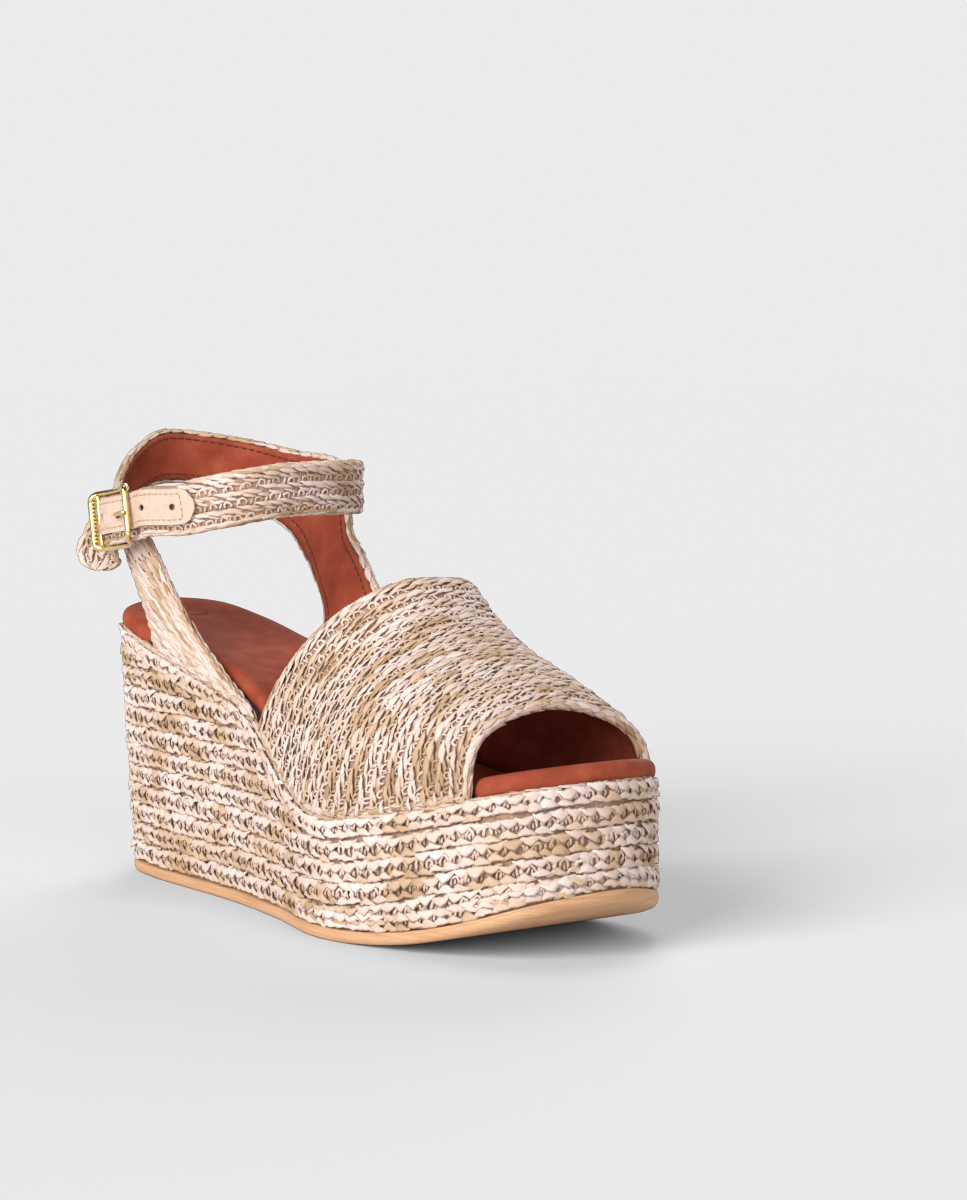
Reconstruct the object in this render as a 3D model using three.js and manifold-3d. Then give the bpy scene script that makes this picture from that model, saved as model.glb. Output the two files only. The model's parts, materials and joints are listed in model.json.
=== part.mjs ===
// Platform wedge sandal, right foot, with an ankle strap and buckle.
// Millimetres, +Z up. The toe points to -Y and the lateral (outer) side of the foot is -X.
// The origin is on the floor, under the middle of the sandal's box.
import * as THREE from 'three';
import { mergeVertices } from 'three/addons/utils/BufferGeometryUtils.js';
import Module from 'manifold-3d';

const wasm = await Module();
wasm.setup();

// ---------------------------------------------------------------- driving dimensions

// Plan outline of the sole: place along the length from the toe, and the two half widths.
const length = 242;
const planStations = [
  { along: 0.035, lateral: 24, medial: 26 },
  { along: 0.11, lateral: 35, medial: 39.3 },
  { along: 0.22, lateral: 42, medial: 42.4 },
  { along: 0.34, lateral: 46, medial: 39.4 },
  { along: 0.48, lateral: 37.6, medial: 33.8 },
  { along: 0.62, lateral: 31.5, medial: 29.6 },
  { along: 0.76, lateral: 29, medial: 27.5 },
  { along: 0.88, lateral: 26.5, medial: 26.4 },
  { along: 0.965, lateral: 20.5, medial: 20.5 },
];
const toeApexX = 5;
const heelApexX = 2.4;

// Heights of the covered sole.
const ballY = -46;            // the outsole lifts off the floor in front of this line
const toeSpring = 17;
const heelSlant = 9.8;        // how far the foot of the heel is tucked in under its top
const slantFromY = 30;
const platformHeight = 37;
const archFrontHeight = 42.5;
const archHeight = 61.2;
const shankHeight = 73.3;
const heelHeight = 84.5;

// Sole layers.
const gap = 0.3;              // between neighbours that touch
const outsoleThick = 4;
const coverInset = 0.8;
const coverThick = 2;
const backingThick = 0.5;
const boardThick = 2;
const footbedThick = 6.2;
const sockThick = 0.9;
const sockFreeInset = 1.1;

// Shank, rivets and heel nails.
const shankWidth = 12;
const shankThick = 1.4;
const shankFrontY = -22;
const shankRearY = 82;
const rivetRadius = 1.8;
const rivetHeadRadius = 2.8;
const rivetHeadThick = 0.8;
const nailRadius = 1;
const nailHeadRadius = 2.2;
const nailHeadThick = 0.7;
const nailLength = 17;
const nailRingRadius = 14;
const nailCount = 5;
const heelCentreY = 92;
const facetRoom = 0.7;        // more room over a faceted, sloping face

// Upper layers, counted from the inner face outwards.
const liningThick = 0.8;
const tapeThick = 0.35;
const raffiaThick = 1.5;
const upperInset = 1.5;       // outer face of the upper inside the sole's outline
const upperLift = 0.75;       // foot of the upper above the cover's top edge
const liningSpan = [0, liningThick];
const tapeSpan = [liningThick + gap, liningThick + gap + tapeThick];
const raffiaSpan = [tapeSpan[1] + gap, tapeSpan[1] + gap + raffiaThick];
const upperThick = raffiaSpan[1];

// Vamp: the arches of its front and rear edges, on the outer face.
const vampFront = {
  lateralY: -96, medialY: -96.3, crestX: -1, rise: 27,
  lateralX: 1.1, lateralZ: 0.5, medialX: 1.35, medialZ: 0.74, lean: -0.05, bow: 0,
};
const vampRear = {
  lateralY: 10.8, medialY: 5.8, crestX: 0, rise: 50.5,
  lateralX: 1.15, lateralZ: 0.63, medialX: 0.6, medialZ: 0.38, lean: -0.53, bow: -16,
};
const vampCrown = 10.5;       // how far the crest bulges over a straight line, half way back

// Ankle loop: the inner face at the height of the ankle strap.
const loopCentreY = 74;
const loopHalfX = 34;
const loopHalfY = 42.5;
const loopFrontPower = 2.6;   // how square the loop is in front
const loopHeight = 130;
const loopQuarter = (Math.PI / 2) * Math.hypot(loopHalfX, loopHalfY) / Math.SQRT2;

// Heel strap: matching places on its front/top edge and its rear/lower edge, from the lateral
// foot round the heel to the medial foot. turn is in degrees from the back of the heel and y is a
// place on the straight sides; rise is a height above the cover's top edge, z a height.
const heelStrapStations = [
  { side: -1, top: { y: 15, rise: 0 }, low: { y: 82, rise: 0 } },
  { side: -1, top: { y: 42, z: 74.5 }, low: { y: 85.5, z: 87 } },
  { side: -1, top: { y: 58, z: 87 }, low: { y: 90, z: 96 } },
  { side: -1, top: { y: 66.8, z: 99.4 }, low: { y: 93, z: 104 } },
  { side: -1, top: { y: 72.8, z: 112 }, low: { turn: 60, z: 111 } },
  { side: -1, top: { turn: 81, z: 120 }, low: { turn: 50, z: 115.5 } },
  { side: -1, top: { turn: 62, z: 125.5 }, low: { turn: 40, z: 119.5 } },
  { side: -1, top: { turn: 42, z: 131 }, low: { turn: 28, z: 124.5 } },
  { side: -1, top: { turn: 20, z: 140 }, low: { turn: 14, z: 128.5 } },
  { side: 1, top: { turn: 0, z: 146 }, low: { turn: 0, z: 130.8 } },
  { side: 1, top: { turn: 26, z: 145 }, low: { turn: 22, z: 130 } },
  { side: 1, top: { turn: 50, z: 142.3 }, low: { turn: 42, z: 126 } },
  { side: 1, top: { turn: 74, z: 139.2 }, low: { turn: 60, z: 119.3 } },
  { side: 1, top: { y: 66, z: 137.6 }, low: { turn: 76, z: 113.4 } },
  { side: 1, top: { y: 58.4, z: 134 }, low: { turn: 88, z: 106.4 } },
  { side: 1, top: { y: 58.2, z: 123 }, low: { y: 68, z: 100.5 } },
  { side: 1, top: { y: 54.5, z: 113.5 }, low: { y: 62.5, z: 95 } },
  { side: 1, top: { y: 46, z: 106.5 }, low: { y: 58, z: 89 } },
  { side: 1, top: { y: 35, z: 95.5 }, low: { y: 56, z: 83 } },
  { side: 1, top: { y: 20, z: 79 }, low: { y: 55.3, z: 77 } },
  { side: 1, top: { y: 8.5, rise: 0 }, low: { y: 55, rise: 0 } },
];
const footBlend = 3;          // stations over which the strap's foot leaves the line of the cover

// Ankle strap.
const strapWidth = 14.5;
const strapRootY = 56;        // where the strap turns on the medial side
const strapRootZ = 130;
const strapFrontZ = 131.2;
const strapTapeEndTurn = 150; // degrees round from the medial side
const patchWidth = 11.5;
const patchLift = 0.7;        // the patch sits this much nearer the strap's top edge
const patchThick = 0.7;
const patchStartTurn = 146;
const holeRadius = 1.1;
const holePitch = 10.2;
const strapThick = upperThick;

// Buckle, in its own frame: t runs rearwards along the strap, a up across it, n outwards.
const buckleY = 78;
const buckleZ = 121;
const buckleSlope = -0.19;    // rise of the strap for each millimetre rearwards
const frameHalfLength = 12.2;
const frameHalfHeight = 8.9;
const barRadius = 0.9;
const endBarOut = 11;
const elasticThick = 0.6;
const elasticHeight = 11;
const plateWidth = 3.4;
const prongRadius = 0.7;
const barOut = upperThick + gap + elasticThick + gap + barRadius;
const strapOverBar = barOut + barRadius + gap + elasticThick + gap + 0.2;
const strapUnderEnd = endBarOut - barRadius - 4 * gap - strapThick - 2 * gap - patchThick;

// ---------------------------------------------------------------- mesh helpers

/** Turns a list of triangles into a geometry whose faces point out. */
function closedGeometry(points, triangles) {
  let volume = 0;
  for (const [i, j, k] of triangles) {
    volume += points[i].dot(new THREE.Vector3().crossVectors(points[j], points[k]));
  }
  const order = volume < 0 ? triangles.map(([i, j, k]) => [i, k, j]) : triangles;
  const geometry = new THREE.BufferGeometry();
  geometry.setFromPoints(points);
  geometry.setIndex(order.flat());
  return geometry;
}

/** Joins rings of equal length. The ends are closed by ladders, or the last meets the first. */
function loft(rings, closed) {
  const count = rings[0].length;
  const points = rings.flat();
  const triangles = [];
  const spans = closed ? rings.length : rings.length - 1;
  for (let r = 0; r < spans; r++) {
    const next = (r + 1) % rings.length;
    for (let i = 0; i < count; i++) {
      const j = (i + 1) % count;
      triangles.push([r * count + i, r * count + j, next * count + i]);
      triangles.push([r * count + j, next * count + j, next * count + i]);
    }
  }
  if (!closed) {
    const last = (rings.length - 1) * count;
    for (let i = 0; i < count / 2; i++) {
      const [a, b] = [i, i + 1];
      const [c, d] = [(count - i) % count, count - i - 1];
      if (a !== c) triangles.push([a, c, b], [last + a, last + b, last + c]);
      if (b !== d) triangles.push([b, c, d], [last + b, last + d, last + c]);
    }
  }
  return closedGeometry(points, triangles);
}

/** Closes two matching grids, such as the inner and outer faces of a strap, into one body. */
function plate(inner, outer) {
  const rows = inner.length;
  const columns = inner[0].length;
  const points = [...inner.flat(), ...outer.flat()];
  const shift = rows * columns;
  const at = (r, c) => r * columns + c;
  const triangles = [];
  const quad = (a, b, c, d) => triangles.push([a, b, c], [a, c, d]);
  for (let r = 0; r < rows - 1; r++) {
    for (let c = 0; c < columns - 1; c++) {
      quad(at(r, c), at(r, c + 1), at(r + 1, c + 1), at(r + 1, c));
      quad(shift + at(r, c), shift + at(r + 1, c), shift + at(r + 1, c + 1), shift + at(r, c + 1));
    }
    quad(at(r, 0), at(r + 1, 0), shift + at(r + 1, 0), shift + at(r, 0));
    const c = columns - 1;
    quad(at(r, c), shift + at(r, c), shift + at(r + 1, c), at(r + 1, c));
  }
  for (let c = 0; c < columns - 1; c++) {
    quad(at(0, c), shift + at(0, c), shift + at(0, c + 1), at(0, c + 1));
    const r = rows - 1;
    quad(at(r, c), at(r, c + 1), shift + at(r, c + 1), shift + at(r, c));
  }
  return closedGeometry(points, triangles);
}

/** A three.js geometry as a solid that can be cut and joined. */
function toSolid(geometry) {
  const bare = geometry.clone();
  bare.deleteAttribute('normal');
  bare.deleteAttribute('uv');
  const merged = mergeVertices(bare, 1e-4);
  return new wasm.Manifold(new wasm.Mesh({
    numProp: 3,
    vertProperties: new Float32Array(merged.attributes.position.array),
    triVerts: new Uint32Array(merged.index.array),
  }));
}

/** A cut or joined solid as a three.js geometry. */
function toGeometry(solid) {
  const mesh = solid.getMesh();
  const geometry = new THREE.BufferGeometry();
  geometry.setAttribute('position', new THREE.BufferAttribute(mesh.vertProperties, 3));
  geometry.setIndex(new THREE.BufferAttribute(mesh.triVerts, 1));
  return geometry;
}

/** A geometry with others cut away from it. */
function cut(geometry, cutters) {
  let solid = toSolid(geometry);
  for (const cutter of cutters) solid = solid.subtract(toSolid(cutter));
  return toGeometry(solid);
}

/** Several overlapping geometries joined into one. */
function join(geometries) {
  return toGeometry(geometries.map(toSolid).reduce((sum, solid) => sum.add(solid)));
}

/** A round rod along a smooth curve through the points. */
function rod(points, radius, sides, steps) {
  const path = new THREE.CatmullRomCurve3(points, false, 'centripetal');
  const frames = path.computeFrenetFrames(steps, false);
  return loft(Array.from({ length: steps + 1 }, (_, i) => {
    const centre = path.getPointAt(i / steps);
    return Array.from({ length: sides }, (_unused, k) => {
      const angle = (k / sides) * Math.PI * 2;
      return centre.clone()
        .addScaledVector(frames.normals[i], radius * Math.cos(angle))
        .addScaledVector(frames.binormals[i], radius * Math.sin(angle));
    });
  }), false);
}

/** A turned piece with its axis along Z. */
function turned(profile, sides) {
  return new THREE.LatheGeometry(profile.map(([r, z]) => new THREE.Vector2(r, z)), sides)
    .rotateX(Math.PI / 2);
}

const ramp = (value, from, to) => THREE.MathUtils.smoothstep(value, from, to);
const { lerp, clamp, degToRad } = THREE.MathUtils;

// ---------------------------------------------------------------- the sole's shape

/** A smooth height through a list of [y, z] places. */
function profileHeight(places, y) {
  const last = places.length - 1;
  if (y <= places[0][0]) return places[0][1];
  if (y >= places[last][0]) return places[last][1];
  const slope = (i) => {
    const [a, b] = [places[Math.max(i - 1, 0)], places[Math.min(i + 1, last)]];
    return (b[1] - a[1]) / (b[0] - a[0]);
  };
  const i = places.findIndex((place) => place[0] >= y) - 1;
  const [y0, z0] = places[i];
  const [y1, z1] = places[i + 1];
  const span = y1 - y0;
  const s = (y - y0) / span;
  return z0 * (1 + 2 * s) * (1 - s) ** 2 + z1 * s * s * (3 - 2 * s)
    + span * (slope(i) * s * (1 - s) ** 2 - slope(i + 1) * s * s * (1 - s));
}

/** Underside of the outsole. */
function floorHeight(y) {
  return toeSpring * clamp((ballY - y) / (ballY + length / 2), 0, 1) ** 2;
}

/** Top edge of the cover. */
const topPlaces = [
  [-length / 2, platformHeight + 0.9 * toeSpring],
  [ballY, platformHeight],
  [-11.5, archFrontHeight],
  [20, archHeight],
  [70, shankHeight],
  [length / 2, heelHeight],
];
const topHeight = (y) => profileHeight(topPlaces, y);

/** Moves a point of the sole forwards where the heel's back slants in towards the floor. */
function slanted(x, y, z) {
  const share = clamp((y - slantFromY) / (length / 2 - slantFromY), 0, 1);
  const drop = clamp(1 - z / topHeight(y), 0, 1);
  return new THREE.Vector3(x, y - heelSlant * share * drop, z);
}

const planCurve = new THREE.CatmullRomCurve3([
  new THREE.Vector3(toeApexX, -length / 2, 0),
  ...planStations.map((s) => new THREE.Vector3(-s.lateral, (s.along - 0.5) * length, 0)),
  new THREE.Vector3(heelApexX, length / 2, 0),
  ...planStations.toReversed().map((s) => new THREE.Vector3(s.medial, (s.along - 0.5) * length, 0)),
], true, 'centripetal');
const planPoints = planCurve.getPoints(720).slice(0, -1);
const toeIndex = planPoints.reduce((best, p, i) => (p.y < planPoints[best].y ? i : best), 0);
const planFromToe = [...planPoints.slice(toeIndex), ...planPoints.slice(0, toeIndex)];
const heelIndex = planFromToe.reduce((best, p, i) => (p.y > planFromToe[best].y ? i : best), 0);
const lateralEdge = planFromToe.slice(0, heelIndex + 1);
const medialEdge = [planFromToe[0], ...planFromToe.slice(heelIndex).reverse()];

/** X of one side of the outline at a place along the sole. */
function outlineX(side, y) {
  const edge = side < 0 ? lateralEdge : medialEdge;
  const i = edge.findIndex((p) => p.y >= y);
  if (i <= 0) return edge[i < 0 ? edge.length - 1 : 0].x;
  const [a, b] = [edge[i - 1], edge[i]];
  return lerp(a.x, b.x, (y - a.y) / (b.y - a.y || 1));
}

const ringHalf = 26;

/** The outline as a ring of matching lateral and medial places, moved inwards. */
function planRing(inset) {
  const toe = planFromToe[0];
  const heel = planFromToe[heelIndex];
  const middle = (toe.y + heel.y) / 2;
  const half = (heel.y - toe.y) / 2;
  const yAt = (i) => middle - half * Math.cos((Math.PI * i) / ringHalf);
  const ring = [{ side: 0, x: toe.x, y: toe.y }];
  for (let i = 1; i < ringHalf; i++) ring.push({ side: -1, x: outlineX(-1, yAt(i)), y: yAt(i) });
  ring.push({ side: 0, x: heel.x, y: heel.y });
  for (let i = ringHalf - 1; i > 0; i--) ring.push({ side: 1, x: outlineX(1, yAt(i)), y: yAt(i) });
  return ring.map((p, i) => {
    const before = ring[(i + ring.length - 1) % ring.length];
    const after = ring[(i + 1) % ring.length];
    const along = Math.hypot(after.x - before.x, after.y - before.y);
    const move = typeof inset === 'function' ? inset(p.y, p.side) : inset;
    return {
      x: p.x + (move * (after.y - before.y)) / along,
      y: p.y - (move * (after.x - before.x)) / along,
    };
  });
}

/** One ring of a sole layer at a height given by the place along the sole. */
function soleRing(inset, heightAt) {
  return planRing(inset).map(({ x, y }) => slanted(x, y, heightAt(y)));
}

const above = (heightAt, rise) => (y) => heightAt(y) + rise;

// ---------------------------------------------------------------- the upper's shape

/** X of the inner face of a strap where it stands on the sole. */
function footX(side, y) {
  return outlineX(side, y) - side * (upperInset + upperThick);
}

/** Place on the heel strap's inner face. u is the way round from the back of the heel. */
function legPoint(u, z) {
  const side = u < 0 ? -1 : 1;
  const way = Math.abs(u);
  const turn = Math.min(way / loopQuarter, 1) * Math.PI / 2;
  const y = way < loopQuarter
    ? loopCentreY + loopHalfY * Math.cos(turn)
    : loopCentreY - (way - loopQuarter);
  const high = side * loopHalfX * Math.sin(turn);
  const foot = footX(side, Math.min(y, heelCentreY)) * Math.sin(turn);
  const share = ramp(z, topHeight(y), loopHeight);
  return new THREE.Vector3(lerp(foot, high, share), y, z);
}

/** Way round to a place of a heel strap station. */
function wayTo(side, place) {
  if (place.turn !== undefined) return side * (place.turn / 90) * loopQuarter;
  if (place.y < loopCentreY) return side * (loopQuarter + loopCentreY - place.y);
  const turn = Math.acos((place.y - loopCentreY) / loopHalfY);
  return side * (turn / (Math.PI / 2)) * loopQuarter;
}

const seamHeight = (y) => topHeight(y) + upperLift;
const placeHeight = (place) => (place.z === undefined ? seamHeight(place.y) + place.rise : place.z);
const edgeCurve = (edge) => new THREE.CatmullRomCurve3(heelStrapStations.map((station) => (
  new THREE.Vector3(wayTo(station.side, station[edge]), placeHeight(station[edge]), 0)
)), false, 'centripetal');
const topEdge = edgeCurve('top');
const lowEdge = edgeCurve('low');

/** Places on the heel strap: s runs along it from 0 to 1 and w across it from 0 to 1. */
function heelStrapPlace(s, w) {
  const top = topEdge.getPoint(s);
  const low = lowEdge.getPoint(s);
  const u = lerp(top.x, low.x, w);
  const span = (heelStrapStations.length - 1) * Math.min(s, 1 - s);
  const share = 1 - ramp(span, 0, footBlend);
  const yOf = (way) => legPoint(way, loopHeight).y;
  const straight = lerp(seamHeight(yOf(top.x)), seamHeight(yOf(low.x)), w);
  return { u, z: lerp(top.y, low.y, w) + share * (seamHeight(yOf(u)) - straight) };
}

/** Outward unit normal of a surface given by a function of two numbers. */
function normalAt(surface, s, w) {
  const step = 1e-3;
  const along = surface(Math.min(s + step, 1), w).sub(surface(Math.max(s - step, 0), w));
  const across = surface(s, Math.min(w + step, 1)).sub(surface(s, Math.max(w - step, 0)));
  return along.cross(across).normalize();
}

/** A layer of a surface between two depths along its outward direction, as a closed plate. */
function layer(surface, outAt, [from, to], sSteps, wSteps) {
  const grid = (depth) => Array.from({ length: sSteps + 1 }, (_, i) => (
    Array.from({ length: wSteps + 1 }, (_unused, j) => {
      const s = i / sSteps;
      const w = j / wSteps;
      return surface(s, w).addScaledVector(outAt(s, w), depth);
    })));
  return plate(grid(from), grid(to));
}

/** Inner face of the heel strap. */
function heelStrapSurface(s, w) {
  const { u, z } = heelStrapPlace(s, w);
  return legPoint(u, z);
}

/** Level direction out of the heel strap, the same all the way up it. */
function heelStrapOut(s, w) {
  const { u } = heelStrapPlace(s, w);
  const turn = Math.min(Math.abs(u) / loopQuarter, 1) * Math.PI / 2;
  return new THREE.Vector3(
    (Math.sign(u) * Math.sin(turn)) / loopHalfX, Math.cos(turn) / loopHalfY, 0,
  ).normalize();
}

/** Numbers of the vamp's arch at one place from its front edge to its rear edge. */
function vampArch(v) {
  const arch = {};
  for (const key of Object.keys(vampFront)) arch[key] = lerp(vampFront[key], vampRear[key], v);
  arch.rise += vampCrown * 4 * v * (1 - v);
  return arch;
}

/** Outer face of the vamp: s runs from the front edge to the rear, w from lateral to medial. */
function vampSurface(s, w) {
  const arch = vampArch(s);
  const cos = Math.cos(Math.PI * w);
  const sin = Math.sin(Math.PI * w);
  const side = cos > 0 ? -1 : 1;
  const footY = side < 0 ? arch.lateralY : arch.medialY;
  const foot = outlineX(side, footY) - side * upperInset;
  const [powerX, powerZ] = side < 0
    ? [arch.lateralX, arch.lateralZ] : [arch.medialX, arch.medialZ];
  const reach = Math.abs(cos) ** powerX;
  const climb = Math.max(sin, 0) ** powerZ;
  const crestBase = (seamHeight(arch.lateralY) + seamHeight(arch.medialY)) / 2;
  return new THREE.Vector3(
    lerp(arch.crestX, foot, reach),
    lerp(arch.lateralY, arch.medialY, (1 - cos) / 2) + arch.lean * arch.rise * climb
      + arch.bow * Math.max(sin, 0),
    lerp(crestBase, seamHeight(footY), Math.abs(cos)) + arch.rise * climb,
  );
}

/** Place on the inner face of the ankle loop, turn in degrees from medial through the front. */
function loopPoint(turn, out = 0) {
  const angle = degToRad(turn);
  const cos = Math.cos(angle);
  const sin = Math.sin(angle);
  const power = sin > 0 ? 2 / loopFrontPower : 1;
  const x = loopHalfX * Math.sign(cos) * Math.abs(cos) ** power;
  const y = loopCentreY - loopHalfY * Math.sign(sin) * Math.abs(sin) ** power;
  const normal = new THREE.Vector3(x / loopHalfX ** 2, (y - loopCentreY) / loopHalfY ** 2, 0);
  return new THREE.Vector3(x, y, 0).addScaledVector(normal.normalize(), out);
}

const rootTurn = 180 / Math.PI * Math.asin(
  ((loopCentreY - strapRootY) / loopHalfY) ** (loopFrontPower / 2),
);

// ---------------------------------------------------------------- the buckle's frame of reference

const buckleTurn = 180 + 180 / Math.PI * Math.asin((buckleY - loopCentreY) / loopHalfY);
const buckleOrigin = loopPoint(buckleTurn).setZ(buckleZ);
const buckleOut = loopPoint(buckleTurn, 1).sub(loopPoint(buckleTurn)).normalize();
const buckleAlong = new THREE.Vector3(-buckleOut.y, buckleOut.x, 0);
if (buckleAlong.y < 0) buckleAlong.negate();
buckleAlong.z = buckleSlope;
buckleAlong.normalize();
const buckleUp = new THREE.Vector3().crossVectors(buckleOut, buckleAlong).normalize();
if (buckleUp.z < 0) buckleUp.negate();
const buckleBasis = new THREE.Matrix4()
  .makeBasis(buckleAlong, buckleUp, new THREE.Vector3().crossVectors(buckleAlong, buckleUp));
const outSign = Math.sign(new THREE.Vector3().crossVectors(buckleAlong, buckleUp).dot(buckleOut));

/** A place given in the buckle's frame, in the sandal's frame. */
function fromBuckle(t, a, n) {
  return new THREE.Vector3(t, a, outSign * n).applyMatrix4(buckleBasis).add(buckleOrigin);
}

// ---------------------------------------------------------------- the ankle strap's route

/** Inner face of the strap, along its middle line, from its root to its tip. */
const strapRoute = [
  ...[rootTurn, 42, 58, 74, 90, 106, 122, 138].map((turn) => {
    const front = ramp(turn, rootTurn, 90);
    const z = turn < 90
      ? lerp(strapRootZ, strapFrontZ, front)
      : strapFrontZ + (buckleZ + 3.6 - strapFrontZ) * ramp(turn, 90, 172);
    return loopPoint(turn, 1.2 * ramp(turn, 106, 138)).setZ(z);
  }),
  loopPoint(155, 2.4).setZ(lerp(strapFrontZ, buckleZ + 3.6, 0.93)),
  fromBuckle(-17, 0.25, strapUnderEnd - 0.4),
  fromBuckle(-frameHalfLength, 0, strapUnderEnd),
  fromBuckle(-5.5, 0, lerp(strapUnderEnd, strapOverBar, 0.72)),
  fromBuckle(0, 0, strapOverBar),
  fromBuckle(5.5, 0, lerp(strapUnderEnd, strapOverBar, 0.72)),
  fromBuckle(frameHalfLength, -0.6, strapUnderEnd),
  fromBuckle(17, -3.4, strapUnderEnd - 0.2),
  fromBuckle(20.5, -8, strapUnderEnd + 0.6),
  fromBuckle(22.5, -14, strapUnderEnd + 1.4),
];
const strapCurve = new THREE.CatmullRomCurve3(strapRoute, false, 'centripetal');
strapCurve.arcLengthDivisions = 400;
const strapLength = strapCurve.getLength();

/** The strap's place and directions at a distance from its root. */
function strapFrame(distance) {
  const at = clamp(distance / strapLength, 0, 1);
  const centre = strapCurve.getPointAt(at);
  const along = strapCurve.getTangentAt(at).normalize();
  const beside = new THREE.Vector3(along.x, along.y, 0).normalize();
  const level = new THREE.Vector3(-beside.y, beside.x, 0);
  const outward = centre.clone().setZ(0).sub(new THREE.Vector3(0, loopCentreY, 0));
  if (level.dot(outward) < 0) level.negate();
  const across = new THREE.Vector3().crossVectors(along, level).normalize();
  if (across.z < 0) across.negate();
  const out = new THREE.Vector3().crossVectors(across, along).normalize();
  if (out.dot(level) < 0) out.negate();
  return { centre, along, across, out };
}

/** Distance along the strap to the place nearest a point. */
function distanceTo(point) {
  let best = 0;
  let least = Infinity;
  for (let i = 0; i <= 800; i++) {
    const gapTo = strapCurve.getPointAt(i / 800).distanceTo(point);
    if (gapTo < least) [least, best] = [gapTo, (i / 800) * strapLength];
  }
  return best;
}

/** A band of the strap between two distances, two depths, and of one width. */
function strapBand({ from, to, depths, width, lift = 0, steps, roundStart = 0, roundEnd = 0 }) {
  const columns = 3;
  const grid = (depth) => Array.from({ length: steps + 1 }, (_, i) => {
    const distance = lerp(from, to, i / steps);
    const { centre, across, out } = strapFrame(distance);
    const shrink = (left, round) => (round && left < round
      ? Math.sqrt(Math.max(1 - (1 - left / round) ** 2, 0.06)) : 1);
    const half = (width / 2) * shrink(distance - from, roundStart) * shrink(to - distance, roundEnd);
    return Array.from({ length: columns + 1 }, (_unused, j) => centre.clone()
      .addScaledVector(across, lift + lerp(-half, half, j / columns))
      .addScaledVector(out, depth));
  });
  return plate(grid(depths[0]), grid(depths[1]));
}

const barDistance = distanceTo(fromBuckle(0, 0, strapOverBar));
const prongHoleDistance = barDistance - 7;
const patchStart = distanceTo(loopPoint(patchStartTurn, 2).setZ(buckleZ + 5));

/** A drill through every layer of the strap at a distance along it. */
function holeDrill(distance) {
  const { centre, across, out } = strapFrame(distance);
  return rod([
    centre.clone().addScaledVector(across, patchLift).addScaledVector(out, -3),
    centre.clone().addScaledVector(across, patchLift).addScaledVector(out, 7),
  ], holeRadius, 10, 1);
}

// ---------------------------------------------------------------- assembly

const sandal = new THREE.Group();

/** Adds one named piece with its own material. */
function add(name, geometry, color, roughness, metalness = 0) {
  const mesh = new THREE.Mesh(geometry, new THREE.MeshStandardMaterial({
    color, roughness, metalness,
  }));
  mesh.name = name;
  sandal.add(mesh);
  return mesh;
}

const colours = {
  raffia: '#c9b48e', lining: '#a4553a', rubber: '#c79a66', cork: '#b08a5c', canvas: '#d9cfb9',
  board: '#8d7a62', steel: '#8f9297', foam: '#e6dcc8', patch: '#dcc3a2', gold: '#c9a24d',
  elastic: '#d6d2e2', tape: '#e8e2d4',
};

/** Rubber sole that meets the floor, with a rounded rim. */
function buildOutsole() {
  const top = above(floorHeight, outsoleThick);
  add('outsole', loft([
    soleRing(2, floorHeight),
    soleRing(0.2, above(floorHeight, 1.3)),
    soleRing(0, above(floorHeight, outsoleThick - 1)),
    soleRing(0.5, top),
  ], false), colours.rubber, 0.7);
}

/** Drills for the rivets that hold the shank and for the nails of the heel seat. */
const rivetPlaces = [shankFrontY + 9, shankRearY - 9].map((y) => ({ x: 0, y }));
const nailPlaces = Array.from({ length: nailCount }, (_, i) => {
  const angle = (i / nailCount) * Math.PI * 2 + Math.PI / 2;
  return {
    x: nailRingRadius * Math.cos(angle),
    y: heelCentreY + 4 + nailRingRadius * 0.7 * Math.sin(angle),
  };
});
const boardTop = above(topHeight, -gap);
const boardLow = above(topHeight, -gap - boardThick);
const coreTop = above(topHeight, -2 * gap - boardThick);

/** A straight drill down from a height. */
function drill(radius, x, y, from, to) {
  return new THREE.CylinderGeometry(radius, radius, to - from, 16)
    .rotateX(Math.PI / 2).translate(x, y, (from + to) / 2);
}

/** A strip under the insole board that follows the arch. */
function shankStrip(width, from, to, rise, thick) {
  const steps = 16;
  const grid = (lift) => Array.from({ length: steps + 1 }, (_, i) => {
    const y = lerp(from, to, i / steps);
    return [-width / 2, width / 2].map((x) => new THREE.Vector3(x, y, coreTop(y) + lift));
  });
  return plate(grid(rise - thick), grid(rise));
}

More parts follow.
